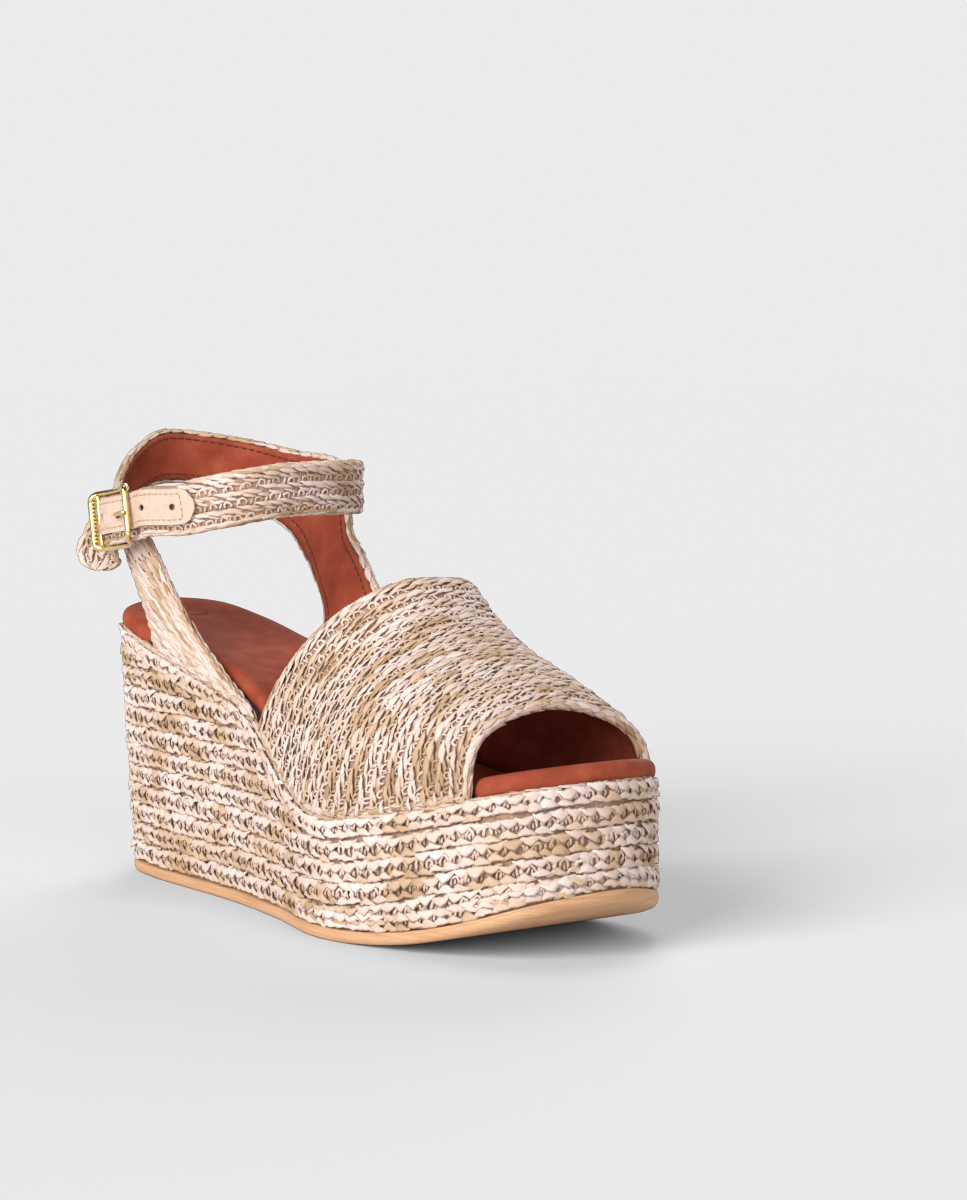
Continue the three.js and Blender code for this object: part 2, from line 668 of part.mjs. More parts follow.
/** Wedge, its raffia cover and canvas backing, insole board, shank and fixings. */
function buildWedge() {
  const bottom = above(floorHeight, outsoleThick + gap);
  const coverInner = coverInset + coverThick;
  const backingOuter = coverInner + gap;
  const backingInner = backingOuter + backingThick;
  const coreInset = backingInner + gap;

  add('wedge_cover', loft([
    soleRing(coverInset, bottom),
    soleRing(coverInset, above(topHeight, -0.9)),
    soleRing(coverInset + 0.5, topHeight),
    soleRing(coverInner - 0.4, topHeight),
    soleRing(coverInner, above(topHeight, -0.9)),
    soleRing(coverInner, bottom),
  ], true), colours.raffia, 0.85);
  add('cover_backing', loft([
    soleRing(backingOuter, bottom),
    soleRing(backingOuter, above(topHeight, -gap)),
    soleRing(backingInner, above(topHeight, -gap)),
    soleRing(backingInner, bottom),
  ], true), colours.canvas, 0.9);

  const nailDrills = nailPlaces.map(({ x, y }) => (
    drill(nailRadius + gap, x, y, coreTop(y) - nailLength - 1, coreTop(y) + 6)));
  const rivetDrills = rivetPlaces.map(({ x, y }) => (
    drill(rivetHeadRadius + gap, x, y, coreTop(y) - shankThick - 3.2, coreTop(y) + 2 * gap)));
  const groove = shankStrip(shankWidth + 2 * gap, shankFrontY - gap, shankRearY + gap,
    1, 1 + shankThick + 2 * gap);
  const core = loft([soleRing(coreInset, bottom), soleRing(coreInset, coreTop)], false);
  add('wedge_core', cut(core, [groove, ...rivetDrills, ...nailDrills]), colours.cork, 0.9);

  const board = loft([soleRing(coreInset, boardLow), soleRing(coreInset, boardTop)], false);
  const boardDrills = [
    ...rivetPlaces.map(({ x, y }) => (
      drill(rivetRadius + gap, x, y, boardLow(y) - 4, boardTop(y) + 4))),
    ...nailPlaces.map(({ x, y }) => (
      drill(nailRadius + gap, x, y, boardLow(y) - 4, boardTop(y) + 4))),
  ];
  add('insole_board', cut(board, boardDrills), colours.board, 0.9);

  const shank = shankStrip(shankWidth, shankFrontY, shankRearY, -gap, shankThick);
  const shankDrills = rivetPlaces.map(({ x, y }) => (
    drill(rivetRadius + gap, x, y, coreTop(y) - 6, coreTop(y) + 4)));
  add('steel_shank', cut(shank, shankDrills), colours.steel, 0.35, 1);

  const slopeAt = (y) => Math.abs(topHeight(y + 1) - topHeight(y - 1)) / 2;
  rivetPlaces.forEach(({ x, y }, i) => {
    const clear = gap + facetRoom + rivetHeadRadius * slopeAt(y);
    const low = coreTop(y) - gap - shankThick - clear;
    const high = boardTop(y) + clear;
    add(`shank_rivet_${i + 1}`, turned([
      [0, low - rivetHeadThick], [rivetHeadRadius, low - rivetHeadThick], [rivetHeadRadius, low],
      [rivetRadius, low], [rivetRadius, high], [rivetHeadRadius, high],
      [rivetHeadRadius - 0.6, high + rivetHeadThick], [0, high + rivetHeadThick],
    ], 16).translate(x, y, 0), colours.steel, 0.4, 1);
  });
  nailPlaces.forEach(({ x, y }, i) => {
    const high = boardTop(y) + gap + facetRoom + nailHeadRadius * slopeAt(y);
    add(`heel_nail_${i + 1}`, turned([
      [0, coreTop(y) - nailLength], [nailRadius, coreTop(y) - nailLength + 3],
      [nailRadius, high], [nailHeadRadius, high], [nailHeadRadius, high + nailHeadThick],
      [0, high + nailHeadThick],
    ], 12).translate(x, y, 0), colours.steel, 0.4, 1);
  });
}

/** How far inside the outline the footbed's edge lies: further in beside the upper. */
function footbedInset(y, side) {
  const tucked = upperInset + upperThick + gap + 2.4;
  const rear = side < 0 ? 82 : 55;
  const room = 5;
  const inside = ramp(y, vampFront.lateralY - 1 - room, vampFront.lateralY - 1)
    * (1 - ramp(y, rear + 5, rear + 5 + room));
  return lerp(sockFreeInset, tucked, side === 0 ? 0 : inside);
}

/** Padded footbed: a foam core in a sock lining that is drawn down over its edge. */
function buildFootbed() {
  const low = above(topHeight, gap);
  const inset = (more) => (y, side) => footbedInset(y, side) + more;
  const sockLow = above(topHeight, gap);
  const dish = 0.9;
  const outer = [
    soleRing(inset(13), above(topHeight, footbedThick - dish)),
    soleRing(inset(6), above(topHeight, footbedThick - 0.3)),
    soleRing(inset(2.2), above(topHeight, footbedThick - 0.1)),
    soleRing(inset(0.6), above(topHeight, footbedThick - 1.3)),
    soleRing(inset(0), above(topHeight, footbedThick / 2)),
    soleRing(inset(0.7), sockLow),
  ];
  const inner = [
    soleRing(inset(0.7 + sockThick), sockLow),
    soleRing(inset(sockThick), above(topHeight, footbedThick / 2)),
    soleRing(inset(0.5 + sockThick), above(topHeight, footbedThick - 1.7)),
    soleRing(inset(2.4 + sockThick), above(topHeight, footbedThick - 0.3 - sockThick)),
    soleRing(inset(6 + sockThick), above(topHeight, footbedThick - 0.3 - sockThick)),
    soleRing(inset(13 + sockThick), above(topHeight, footbedThick - dish - sockThick)),
  ];
  add('sock_lining', loft([...outer, ...inner], false), colours.lining, 0.75);

  const under = sockThick + gap;
  const foam = loft([
    soleRing(inset(0.9 + under), low),
    soleRing(inset(0.2 + under), above(topHeight, footbedThick / 2)),
    soleRing(inset(0.9 + under), above(topHeight, footbedThick - 2.1)),
    soleRing(inset(3.2 + under), above(topHeight, footbedThick - 0.8 - under)),
    soleRing(inset(6 + under), above(topHeight, footbedThick - 0.8 - under)),
    soleRing(inset(13 + under), above(topHeight, footbedThick - dish - 0.4 - under)),
  ], false);
  const headRoom = 3.3;
  const sockets = [
    ...rivetPlaces.map(({ x, y }) => (
      drill(rivetHeadRadius + gap, x, y, boardTop(y) - 3, boardTop(y) + headRoom))),
    ...nailPlaces.map(({ x, y }) => (
      drill(nailHeadRadius + gap, x, y, boardTop(y) - 3, boardTop(y) + headRoom))),
  ];
  add('footbed_foam', cut(foam, sockets), colours.foam, 0.95);
}

/** Closed band over the forefoot: lining, interlining and knitted raffia. */
function buildVamp() {
  const inwards = (s, w) => normalAt(vampSurface, s, w);
  const shell = ([a, b]) => layer(vampSurface, inwards, [upperThick - b, upperThick - a], 9, 18);
  add('vamp_lining', shell(liningSpan), colours.lining, 0.75);
  add('vamp_interlining', shell(tapeSpan), colours.canvas, 0.9);
  add('vamp_raffia', shell(raffiaSpan), colours.raffia, 0.85);
}

/** Band that rises from the lateral edge, rounds the heel and comes down on the medial side. */
function buildHeelStrap() {
  const strap = (span) => layer(heelStrapSurface, heelStrapOut, span, 30, 6);
  add('heel_strap_lining', strap(liningSpan), colours.lining, 0.75);
  add('heel_strap_tape', strap(tapeSpan), colours.tape, 0.9);
  add('heel_strap_raffia', strap(raffiaSpan), colours.raffia, 0.85);
}

/** Rod route of the prong in the buckle's frame, with room left round it where asked. */
function prongRod(clearance) {
  return rod([
    fromBuckle(-1.2, 0, barOut + 0.8),
    fromBuckle(-4.2, 0, barOut + 2.9),
    fromBuckle(-7.4, 0, endBarOut + barRadius + gap + prongRadius - 0.2),
    fromBuckle(-10, 0, endBarOut + barRadius + gap + prongRadius),
    fromBuckle(-frameHalfLength - 1.4, 0, endBarOut + barRadius + gap + prongRadius),
  ], prongRadius + clearance, 8, 12);
}

/** Strap with its perforated end: raffia, lining, tape and the leather patch. */
function buildAnkleStrap() {
  const patchFrom = strapThick + 2 * gap;
  const drills = [-1, 1, 2].map((k) => holeDrill(prongHoleDistance - k * holePitch));
  const holes = [prongRod(gap + 0.2), ...drills];
  const whole = { from: 0, to: strapLength, width: strapWidth, steps: 44, roundEnd: 6 };
  add('ankle_strap_lining', cut(strapBand({
    ...whole, depths: [0, liningThick], width: strapWidth - 1,
  }), holes), colours.lining, 0.75);
  add('ankle_strap_raffia', cut(strapBand({
    ...whole, depths: raffiaSpan,
  }), holes), colours.raffia, 0.85);
  add('strap_hole_patch', cut(strapBand({
    from: patchStart, to: barDistance + 9.5, depths: [patchFrom, patchFrom + patchThick],
    width: patchWidth, lift: patchLift, steps: 22, roundStart: 5, roundEnd: 3,
  }), holes), colours.patch, 0.6);
}

/** Narrow tape inside the strap between its two layers, up to the perforated end. */
function buildStrapTape() {
  const end = distanceTo(loopPoint(strapTapeEndTurn, 1.6).setZ(buckleZ + 5));
  add('ankle_strap_tape', strapBand({
    from: 2, to: end, depths: tapeSpan, width: 9, steps: 22,
  }), colours.tape, 0.9);
}

/** Elastic on the heel strap's outer face, looped forwards round the buckle's bar. */
function buildElastic() {
  const wrap = barRadius + gap + elasticThick / 2;
  const flap = [9.5, 7, 4.5, 2].map((t) => (
    [t, barOut - wrap - (t * t) / (2 * loopHalfY * 1.2), 0, -1]));
  const bend = Array.from({ length: 8 }, (_, i) => {
    const angle = -Math.PI / 2 - (i / 7) * Math.PI;
    const [cos, sin] = [Math.cos(angle), Math.sin(angle)];
    return [wrap * cos, barOut + wrap * sin, cos, sin];
  });
  const columns = [-1, -0.33, 0.33, 1].map((k) => (k * elasticHeight) / 2);
  const face = (shift) => columns.map((a) => [...flap, ...bend].map(([t, n, tOut, nOut]) => (
    fromBuckle(t + shift * tOut, a, n + shift * nOut))));
  const band = plate(face(-elasticThick / 2), face(elasticThick / 2));
  const slot = new THREE.BoxGeometry(6, 3.6, 8).translate(0.3, 0, outSign * (barOut + 0.4));
  slot.applyMatrix4(buckleBasis).translate(buckleOrigin.x, buckleOrigin.y, buckleOrigin.z);
  add('elastic_loop', cut(band, [slot]), colours.elastic, 0.8);
}

/** Buckle: an arched frame with a centre bar and a plate over its rear end, and the prong. */
function buildBuckle() {
  const rail = (a) => rod([
    fromBuckle(-frameHalfLength, a, endBarOut), fromBuckle(-6.5, a, barOut + 1),
    fromBuckle(0, a, barOut), fromBuckle(6.5, a, barOut + 1),
    fromBuckle(frameHalfLength, a, endBarOut),
  ], barRadius, 8, 10);
  const bar = (t, n) => rod([
    fromBuckle(t, -frameHalfHeight, n), fromBuckle(t, frameHalfHeight, n),
  ], barRadius, 8, 1);
  const corner = (t, a) => {
    const at = fromBuckle(t, a, endBarOut);
    return new THREE.SphereGeometry(barRadius, 8, 6).translate(at.x, at.y, at.z);
  };
  const plateGrid = (n) => [0, 1].map((k) => [-1, -0.6, 0, 0.6, 1].map((w) => fromBuckle(
    frameHalfLength + lerp(-0.6, plateWidth - 0.6 * w * w, k), w * (frameHalfHeight - 0.4),
    n - 1.3 * k)));
  add('buckle_frame', join([
    rail(-frameHalfHeight), rail(frameHalfHeight),
    bar(-frameHalfLength, endBarOut), bar(0, barOut), bar(frameHalfLength, endBarOut),
    ...[-1, 1].flatMap((t) => [-1, 1].map((a) => (
      corner(t * frameHalfLength, a * frameHalfHeight)))),
    plate(plateGrid(endBarOut - 0.5), plateGrid(endBarOut + 0.6)),
  ]), colours.gold, 0.25, 1);

  const eye = new THREE.LatheGeometry([
    new THREE.Vector2(barRadius + gap, -1.2), new THREE.Vector2(barRadius + gap + 0.7, -1.2),
    new THREE.Vector2(barRadius + gap + 0.7, 1.2), new THREE.Vector2(barRadius + gap, 1.2),
    new THREE.Vector2(barRadius + gap, -1.2),
  ], 14);
  const centre = fromBuckle(0, 0, barOut);
  eye.applyMatrix4(buckleBasis).translate(centre.x, centre.y, centre.z);
  const bore = rod([fromBuckle(0, -3, barOut), fromBuckle(0, 3, barOut)], barRadius + gap, 14, 1);
  add('buckle_prong', toGeometry(
    toSolid(prongRod(0)).add(toSolid(eye)).subtract(toSolid(bore)),
  ), colours.gold, 0.25, 1);
}

buildOutsole();
buildWedge();
buildFootbed();
buildVamp();
buildHeelStrap();
buildAnkleStrap();
buildStrapTape();
buildElastic();
buildBuckle();

// The origin is on the floor, under the middle of the sandal's box.
const box = new THREE.Box3().setFromObject(sandal, true);
const middle = box.getCenter(new THREE.Vector3());
for (const mesh of sandal.children) mesh.geometry.translate(-middle.x, -middle.y, -box.min.z);

export default sandal;
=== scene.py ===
"""Platform wedge sandal in knitted raffia, right foot, with an ankle strap and a gold buckle.

Every shape is worked out in millimetres in the frame of the solid model and turned into metres
when its mesh is made. The toe points to -Y, the buckle is on the -X side and +Z is up.
"""
from __future__ import annotations

import json
import logging
import math
from collections.abc import Callable
from dataclasses import dataclass, field
from enum import Enum
from functools import partial

import bpy
import numpy as np
from mathutils import Matrix, Vector

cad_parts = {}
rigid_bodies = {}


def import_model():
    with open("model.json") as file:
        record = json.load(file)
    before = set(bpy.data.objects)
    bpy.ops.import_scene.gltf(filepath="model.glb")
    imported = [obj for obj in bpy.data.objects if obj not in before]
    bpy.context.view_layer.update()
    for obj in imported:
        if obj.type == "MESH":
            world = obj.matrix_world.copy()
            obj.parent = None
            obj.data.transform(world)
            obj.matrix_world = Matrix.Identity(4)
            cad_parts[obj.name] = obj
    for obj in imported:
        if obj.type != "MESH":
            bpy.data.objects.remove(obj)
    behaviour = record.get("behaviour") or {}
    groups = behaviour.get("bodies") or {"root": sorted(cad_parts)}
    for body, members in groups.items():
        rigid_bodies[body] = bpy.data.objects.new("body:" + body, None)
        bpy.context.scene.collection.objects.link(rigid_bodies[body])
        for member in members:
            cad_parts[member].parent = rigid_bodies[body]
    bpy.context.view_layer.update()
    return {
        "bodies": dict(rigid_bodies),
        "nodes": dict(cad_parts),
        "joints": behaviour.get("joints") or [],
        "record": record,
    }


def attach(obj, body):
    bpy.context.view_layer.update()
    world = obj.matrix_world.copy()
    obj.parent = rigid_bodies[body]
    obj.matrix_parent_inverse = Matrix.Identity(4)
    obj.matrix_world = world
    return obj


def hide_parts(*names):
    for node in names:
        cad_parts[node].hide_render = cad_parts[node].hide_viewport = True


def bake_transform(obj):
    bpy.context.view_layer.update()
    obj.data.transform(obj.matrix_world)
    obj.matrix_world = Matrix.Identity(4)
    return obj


log = logging.getLogger("sandal")
MM = 0.001
BENDING = "ankle_strap_from_its_root"  # stands for a body: these pieces get no parent and keep their places baked in
MODEL_TO_SCENE = (3.0097, 0.4615, 0.0)
Surface = Callable[[np.ndarray, np.ndarray], tuple[np.ndarray, np.ndarray]]


# ---- numbers and curves


def smoothstep(value: np.ndarray, start: float, end: float) -> np.ndarray:
    """A smooth rise from 0 at start to 1 at end."""
    t = np.clip((np.asarray(value, float) - start) / (end - start), 0.0, 1.0)
    return t * t * (3.0 - 2.0 * t)


def unit(vectors: np.ndarray) -> np.ndarray:
    """Vectors scaled to a length of one."""
    return vectors / np.maximum(np.linalg.norm(vectors, axis=-1, keepdims=True), 1e-12)


def catmull_rom(points: np.ndarray, per_span: int, closed: bool) -> np.ndarray:
    """Points of a centripetal Catmull-Rom curve through the given points.

    Args:
        points: Places to pass through, (places, axes).
        per_span: Steps from one place to the next.
        closed: Whether the curve comes back to its start.

    Returns:
        The points of the curve.
    """
    p = np.asarray(points, float)
    if closed:
        padded = np.vstack([p[-1], p, p[0], p[1]])
    else:
        padded = np.vstack([2 * p[0] - p[1], p, 2 * p[-1] - p[-2]])
    t = np.linspace(0, 1, per_span, endpoint=False)[:, None]
    spans = []
    for p0, p1, p2, p3 in zip(padded[:-3], padded[1:-2], padded[2:-1], padded[3:]):
        d0, d1, d2 = (max(np.linalg.norm(b - a), 1e-9) ** 0.5
                      for a, b in ((p0, p1), (p1, p2), (p2, p3)))
        m1 = ((p1 - p0) / d0 - (p2 - p0) / (d0 + d1) + (p2 - p1) / d1) * d1
        m2 = ((p2 - p1) / d1 - (p3 - p1) / (d1 + d2) + (p3 - p2) / d2) * d1
        spans.append((2 * t**3 - 3 * t**2 + 1) * p1 + (t**3 - 2 * t**2 + t) * m1
                     + (3 * t**2 - 2 * t**3) * p2 + (t**3 - t**2) * m2)
    curve = np.vstack(spans)
    return curve if closed else np.vstack([curve, p[-1]])


class Track:
    """A curve that is read by distance along it."""

    def __init__(self, points: np.ndarray) -> None:
        """Measures the way to each point."""
        self.points = points
        steps = np.linalg.norm(np.diff(points, axis=0), axis=1)
        self.at = np.concatenate([[0.0], np.cumsum(steps)])
        self.length = float(self.at[-1])

    def place(self, distance: np.ndarray) -> np.ndarray:
        """Points at distances along the curve."""
        return np.stack([np.interp(distance, self.at, self.points[:, k])
                         for k in range(self.points.shape[1])], axis=-1)

    def direction(self, distance: np.ndarray) -> np.ndarray:
        """Unit tangents at distances along the curve."""
        return unit(self.place(np.asarray(distance) + 0.4) - self.place(np.asarray(distance) - 0.4))


def frame_on(surface: Callable[[np.ndarray, np.ndarray], np.ndarray], s: np.ndarray,
             w: np.ndarray, step: float = 1e-3) -> tuple[np.ndarray, np.ndarray]:
    """Points of a surface and its unit normals, along s crossed with along w.

    Args:
        surface: Gives points for arrays of s and w, both from 0 to 1.
        s: First places.
        w: Second places.
        step: Half of the difference that the normals are measured over.

    Returns:
        Points and unit normals.
    """
    s0, s1 = np.clip(s - step, 0, 1), np.clip(s + step, 0, 1)
    w0, w1 = np.clip(w - step, 0, 1), np.clip(w + step, 0, 1)
    normal = np.cross(surface(s1, w) - surface(s0, w), surface(s, w1) - surface(s, w0))
    return surface(s, w), unit(normal)


# ---- shapes shared by the pieces


@dataclass(frozen=True)
class Sole:
    """Plan outline and heights of the sole, in millimetres, as the solid model has them."""

    length: float = 242.0
    stations: tuple[float, ...] = (0.035, 0.11, 0.22, 0.34, 0.48, 0.62, 0.76, 0.88, 0.965)
    lateral: tuple[float, ...] = (24, 35, 42, 46, 37.6, 31.5, 29, 26.5, 20.5)
    medial: tuple[float, ...] = (26, 39.3, 42.4, 39.4, 33.8, 29.6, 27.5, 26.4, 20.5)
    toe_x: float = 5.0
    heel_x: float = 2.4
    ball_y: float = -46.0
    toe_spring: float = 17.0
    heel_slant: float = 9.8
    slant_from_y: float = 30.0
    top_places: tuple[tuple[float, float], ...] = (
        (-121, 52.3), (-46, 37), (-11.5, 42.5), (20, 61.2), (70, 73.3), (121, 84.5))
    footbed_thick: float = 6.2

    def outline(self) -> np.ndarray:
        """The plan outline from the toe, up the lateral side, round the heel and back.

        Returns:
            A closed ring of places, in plan.
        """
        half = self.length / 2
        ys = [(s - 0.5) * self.length for s in self.stations]
        points = [(self.toe_x, -half)]
        points += [(-x, y) for x, y in zip(self.lateral, ys)]
        points += [(self.heel_x, half)]
        points += [(x, y) for x, y in zip(self.medial[::-1], ys[::-1])]
        return catmull_rom(np.array(points), 48, True)

    def top(self, y: np.ndarray) -> np.ndarray:
        """Height of the cover's top edge.

        Args:
            y: Places along the sole.

        Returns:
            A height for each place, on a cubic through the given places.
        """
        ys, zs = np.array(self.top_places).T
        slope = np.empty(len(ys))
        slope[1:-1] = (zs[2:] - zs[:-2]) / (ys[2:] - ys[:-2])
        slope[0] = (zs[1] - zs[0]) / (ys[1] - ys[0])
        slope[-1] = (zs[-1] - zs[-2]) / (ys[-1] - ys[-2])
        y = np.clip(np.asarray(y, float), ys[0], ys[-1])
        i = np.clip(np.searchsorted(ys, y) - 1, 0, len(ys) - 2)
        span = ys[i + 1] - ys[i]
        t = (y - ys[i]) / span
        return (zs[i] * (1 + 2 * t) * (1 - t) ** 2 + zs[i + 1] * t * t * (3 - 2 * t)
                + span * (slope[i] * t * (1 - t) ** 2 - slope[i + 1] * t * t * (1 - t)))

    def floor(self, y: np.ndarray) -> np.ndarray:
        """Height of the outsole's underside."""
        share = (self.ball_y - np.asarray(y, float)) / (self.ball_y + self.length / 2)
        return self.toe_spring * np.clip(share, 0, 1) ** 2

    def slanted(self, points: np.ndarray) -> np.ndarray:
        """Moves points of the sole forwards where the back of the heel slants in.

        Args:
            points: Places on an upright side.

        Returns:
            The places on the slanted side.
        """
        y, z = points[..., 1], points[..., 2]
        share = np.clip((y - self.slant_from_y) / (self.length / 2 - self.slant_from_y), 0, 1)
        out = points.copy()
        out[..., 1] -= self.heel_slant * share * np.clip(1 - z / self.top(y), 0, 1)
        return out

    def side_x(self, side: int, y: np.ndarray) -> np.ndarray:
        """X of one side of the outline at places along the sole.

        Args:
            side: -1 for the lateral side and 1 for the medial.
            y: Places along the sole.

        Returns:
            X at each place.
        """
        ring = self.outline()
        toe, heel = int(ring[:, 1].argmin()), int(ring[:, 1].argmax())
        ring = np.roll(ring, -toe, axis=0)
        heel = (heel - toe) % len(ring)
        edge = ring[: heel + 1] if side < 0 else np.vstack([ring[0], ring[heel:][::-1]])
        return np.interp(y, edge[:, 1], edge[:, 0])


SOLE = Sole()
GAP = 0.3
LINING_THICK = 0.8
UPPER_THICK = 3.25
UPPER_INSET = 1.5
UPPER_LIFT = 0.75


def seam(y: np.ndarray) -> np.ndarray:
    """Height of the upper's foot over the cover's top edge."""
    return SOLE.top(y) + UPPER_LIFT


class Wall:
    """The side of the wedge, read by distance round it and by height."""

    def __init__(self) -> None:
        """Closes the outline."""
        ring = SOLE.outline()
        self.track = Track(np.vstack([ring, ring[0]]))

    def at(self, around: np.ndarray, height: np.ndarray,
           inset: float) -> tuple[np.ndarray, np.ndarray]:
        """Points and outward normals at distances round the outline and at heights.

        Args:
            around: Distances round the outline.
            height: Heights.
            inset: How far inside the outline.

        Returns:
            Points and normals.
        """
        u = np.mod(around, self.track.length)
        place, ahead = self.track.place(u), self.track.direction(u)
        normal = np.stack([-ahead[..., 1], ahead[..., 0], np.zeros_like(u)], axis=-1)
        flat = place - inset * normal[..., :2]
        return SOLE.slanted(np.concatenate([flat, height[..., None]], axis=-1)), normal

    def plan_y(self, around: np.ndarray) -> np.ndarray:
        """Y of the outline at distances round it."""
        return self.track.place(np.mod(around, self.track.length))[..., 1]


@dataclass(frozen=True)
class Arch:
    """The vamp's arch at its front or its rear edge, on the outer face."""

    lateral_y: float
    medial_y: float
    crest_x: float
    rise: float
    lateral_px: float
    lateral_pz: float
    medial_px: float
    medial_pz: float
    lean: float
    bow: float


@dataclass(frozen=True)
class VampShape:
    """The closed band over the forefoot."""

    front: Arch = Arch(-96, -96.3, -1, 27, 1.1, 0.5, 1.35, 0.74, -0.05, 0)
    rear: Arch = Arch(10.8, 5.8, 0, 50.5, 1.15, 0.63, 0.6, 0.38, -0.53, -16)
    crown: float = 10.5

    def outer(self, s: np.ndarray, w: np.ndarray) -> np.ndarray:
        """Outer face: s runs from the front edge to the rear and w from lateral to medial.

        Args:
            s: Shares of the way from the front edge.
            w: Shares of the way across the foot.

        Returns:
            Points.
        """
        s, w = np.broadcast_arrays(np.asarray(s, float), np.asarray(w, float))
        mix = {k: getattr(self.front, k) * (1 - s) + getattr(self.rear, k) * s
               for k in Arch.__dataclass_fields__}
        rise = mix["rise"] + self.crown * 4 * s * (1 - s)
        cos, sin = np.cos(np.pi * w), np.clip(np.sin(np.pi * w), 0, 1)
        lateral = cos > 0
        foot_y = np.where(lateral, mix["lateral_y"], mix["medial_y"])
        foot = np.where(lateral, SOLE.side_x(-1, foot_y) + UPPER_INSET,
                        SOLE.side_x(1, foot_y) - UPPER_INSET)
        reach = np.abs(cos) ** np.where(lateral, mix["lateral_px"], mix["medial_px"])
        climb = sin ** np.where(lateral, mix["lateral_pz"], mix["medial_pz"])
        crest_base = (seam(mix["lateral_y"]) + seam(mix["medial_y"])) / 2
        x = mix["crest_x"] * (1 - reach) + foot * reach
        y = (mix["lateral_y"] + (mix["medial_y"] - mix["lateral_y"]) * (1 - cos) / 2
             + mix["lean"] * rise * climb + mix["bow"] * sin)
        z = crest_base * (1 - np.abs(cos)) + seam(foot_y) * np.abs(cos) + rise * climb
        return np.stack([x, y, z], axis=-1)

    def at_depth(self, depth: float) -> Surface:
        """The face that lies this far out from the lining's inner face.

        Args:
            depth: Distance outwards.

        Returns:
            A surface of s and w.
        """
        def face(s: np.ndarray, w: np.ndarray) -> tuple[np.ndarray, np.ndarray]:
            """Points and outward normals."""
            s, w = np.broadcast_arrays(np.asarray(s, float), np.asarray(w, float))
            point, inward = frame_on(self.outer, s, w)
            return point + inward * (UPPER_THICK - depth), -inward
        return face


@dataclass(frozen=True)
class AnkleLoop:
    """The loop that the heel strap and the ankle strap make round the ankle."""

    centre_y: float = 74.0
    half_x: float = 34.0
    half_y: float = 42.5
    front_power: float = 2.6
    height: float = 130.0

    @property
    def quarter(self) -> float:
        """Length of a quarter of the loop, as the heel strap's stations count it."""
        return math.pi / 2 * math.hypot(self.half_x, self.half_y) / math.sqrt(2)

    def point(self, turn: float, out: float = 0.0, z: float = 0.0) -> np.ndarray:
        """Place on the inner face, turn in degrees from medial through the front.

        Args:
            turn: Degrees round the loop.
            out: Distance outwards.
            z: Height.

        Returns:
            The place.
        """
        cos, sin = math.cos(math.radians(turn)), math.sin(math.radians(turn))
        power = 2 / self.front_power if sin > 0 else 1.0
        x = self.half_x * math.copysign(abs(cos) ** power, cos)
        y = self.centre_y - self.half_y * math.copysign(abs(sin) ** power, sin)
        normal = unit(np.array([x / self.half_x**2, (y - self.centre_y) / self.half_y**2]))
        return np.array([x + out * normal[0], y + out * normal[1], z])


LOOP = AnkleLoop()


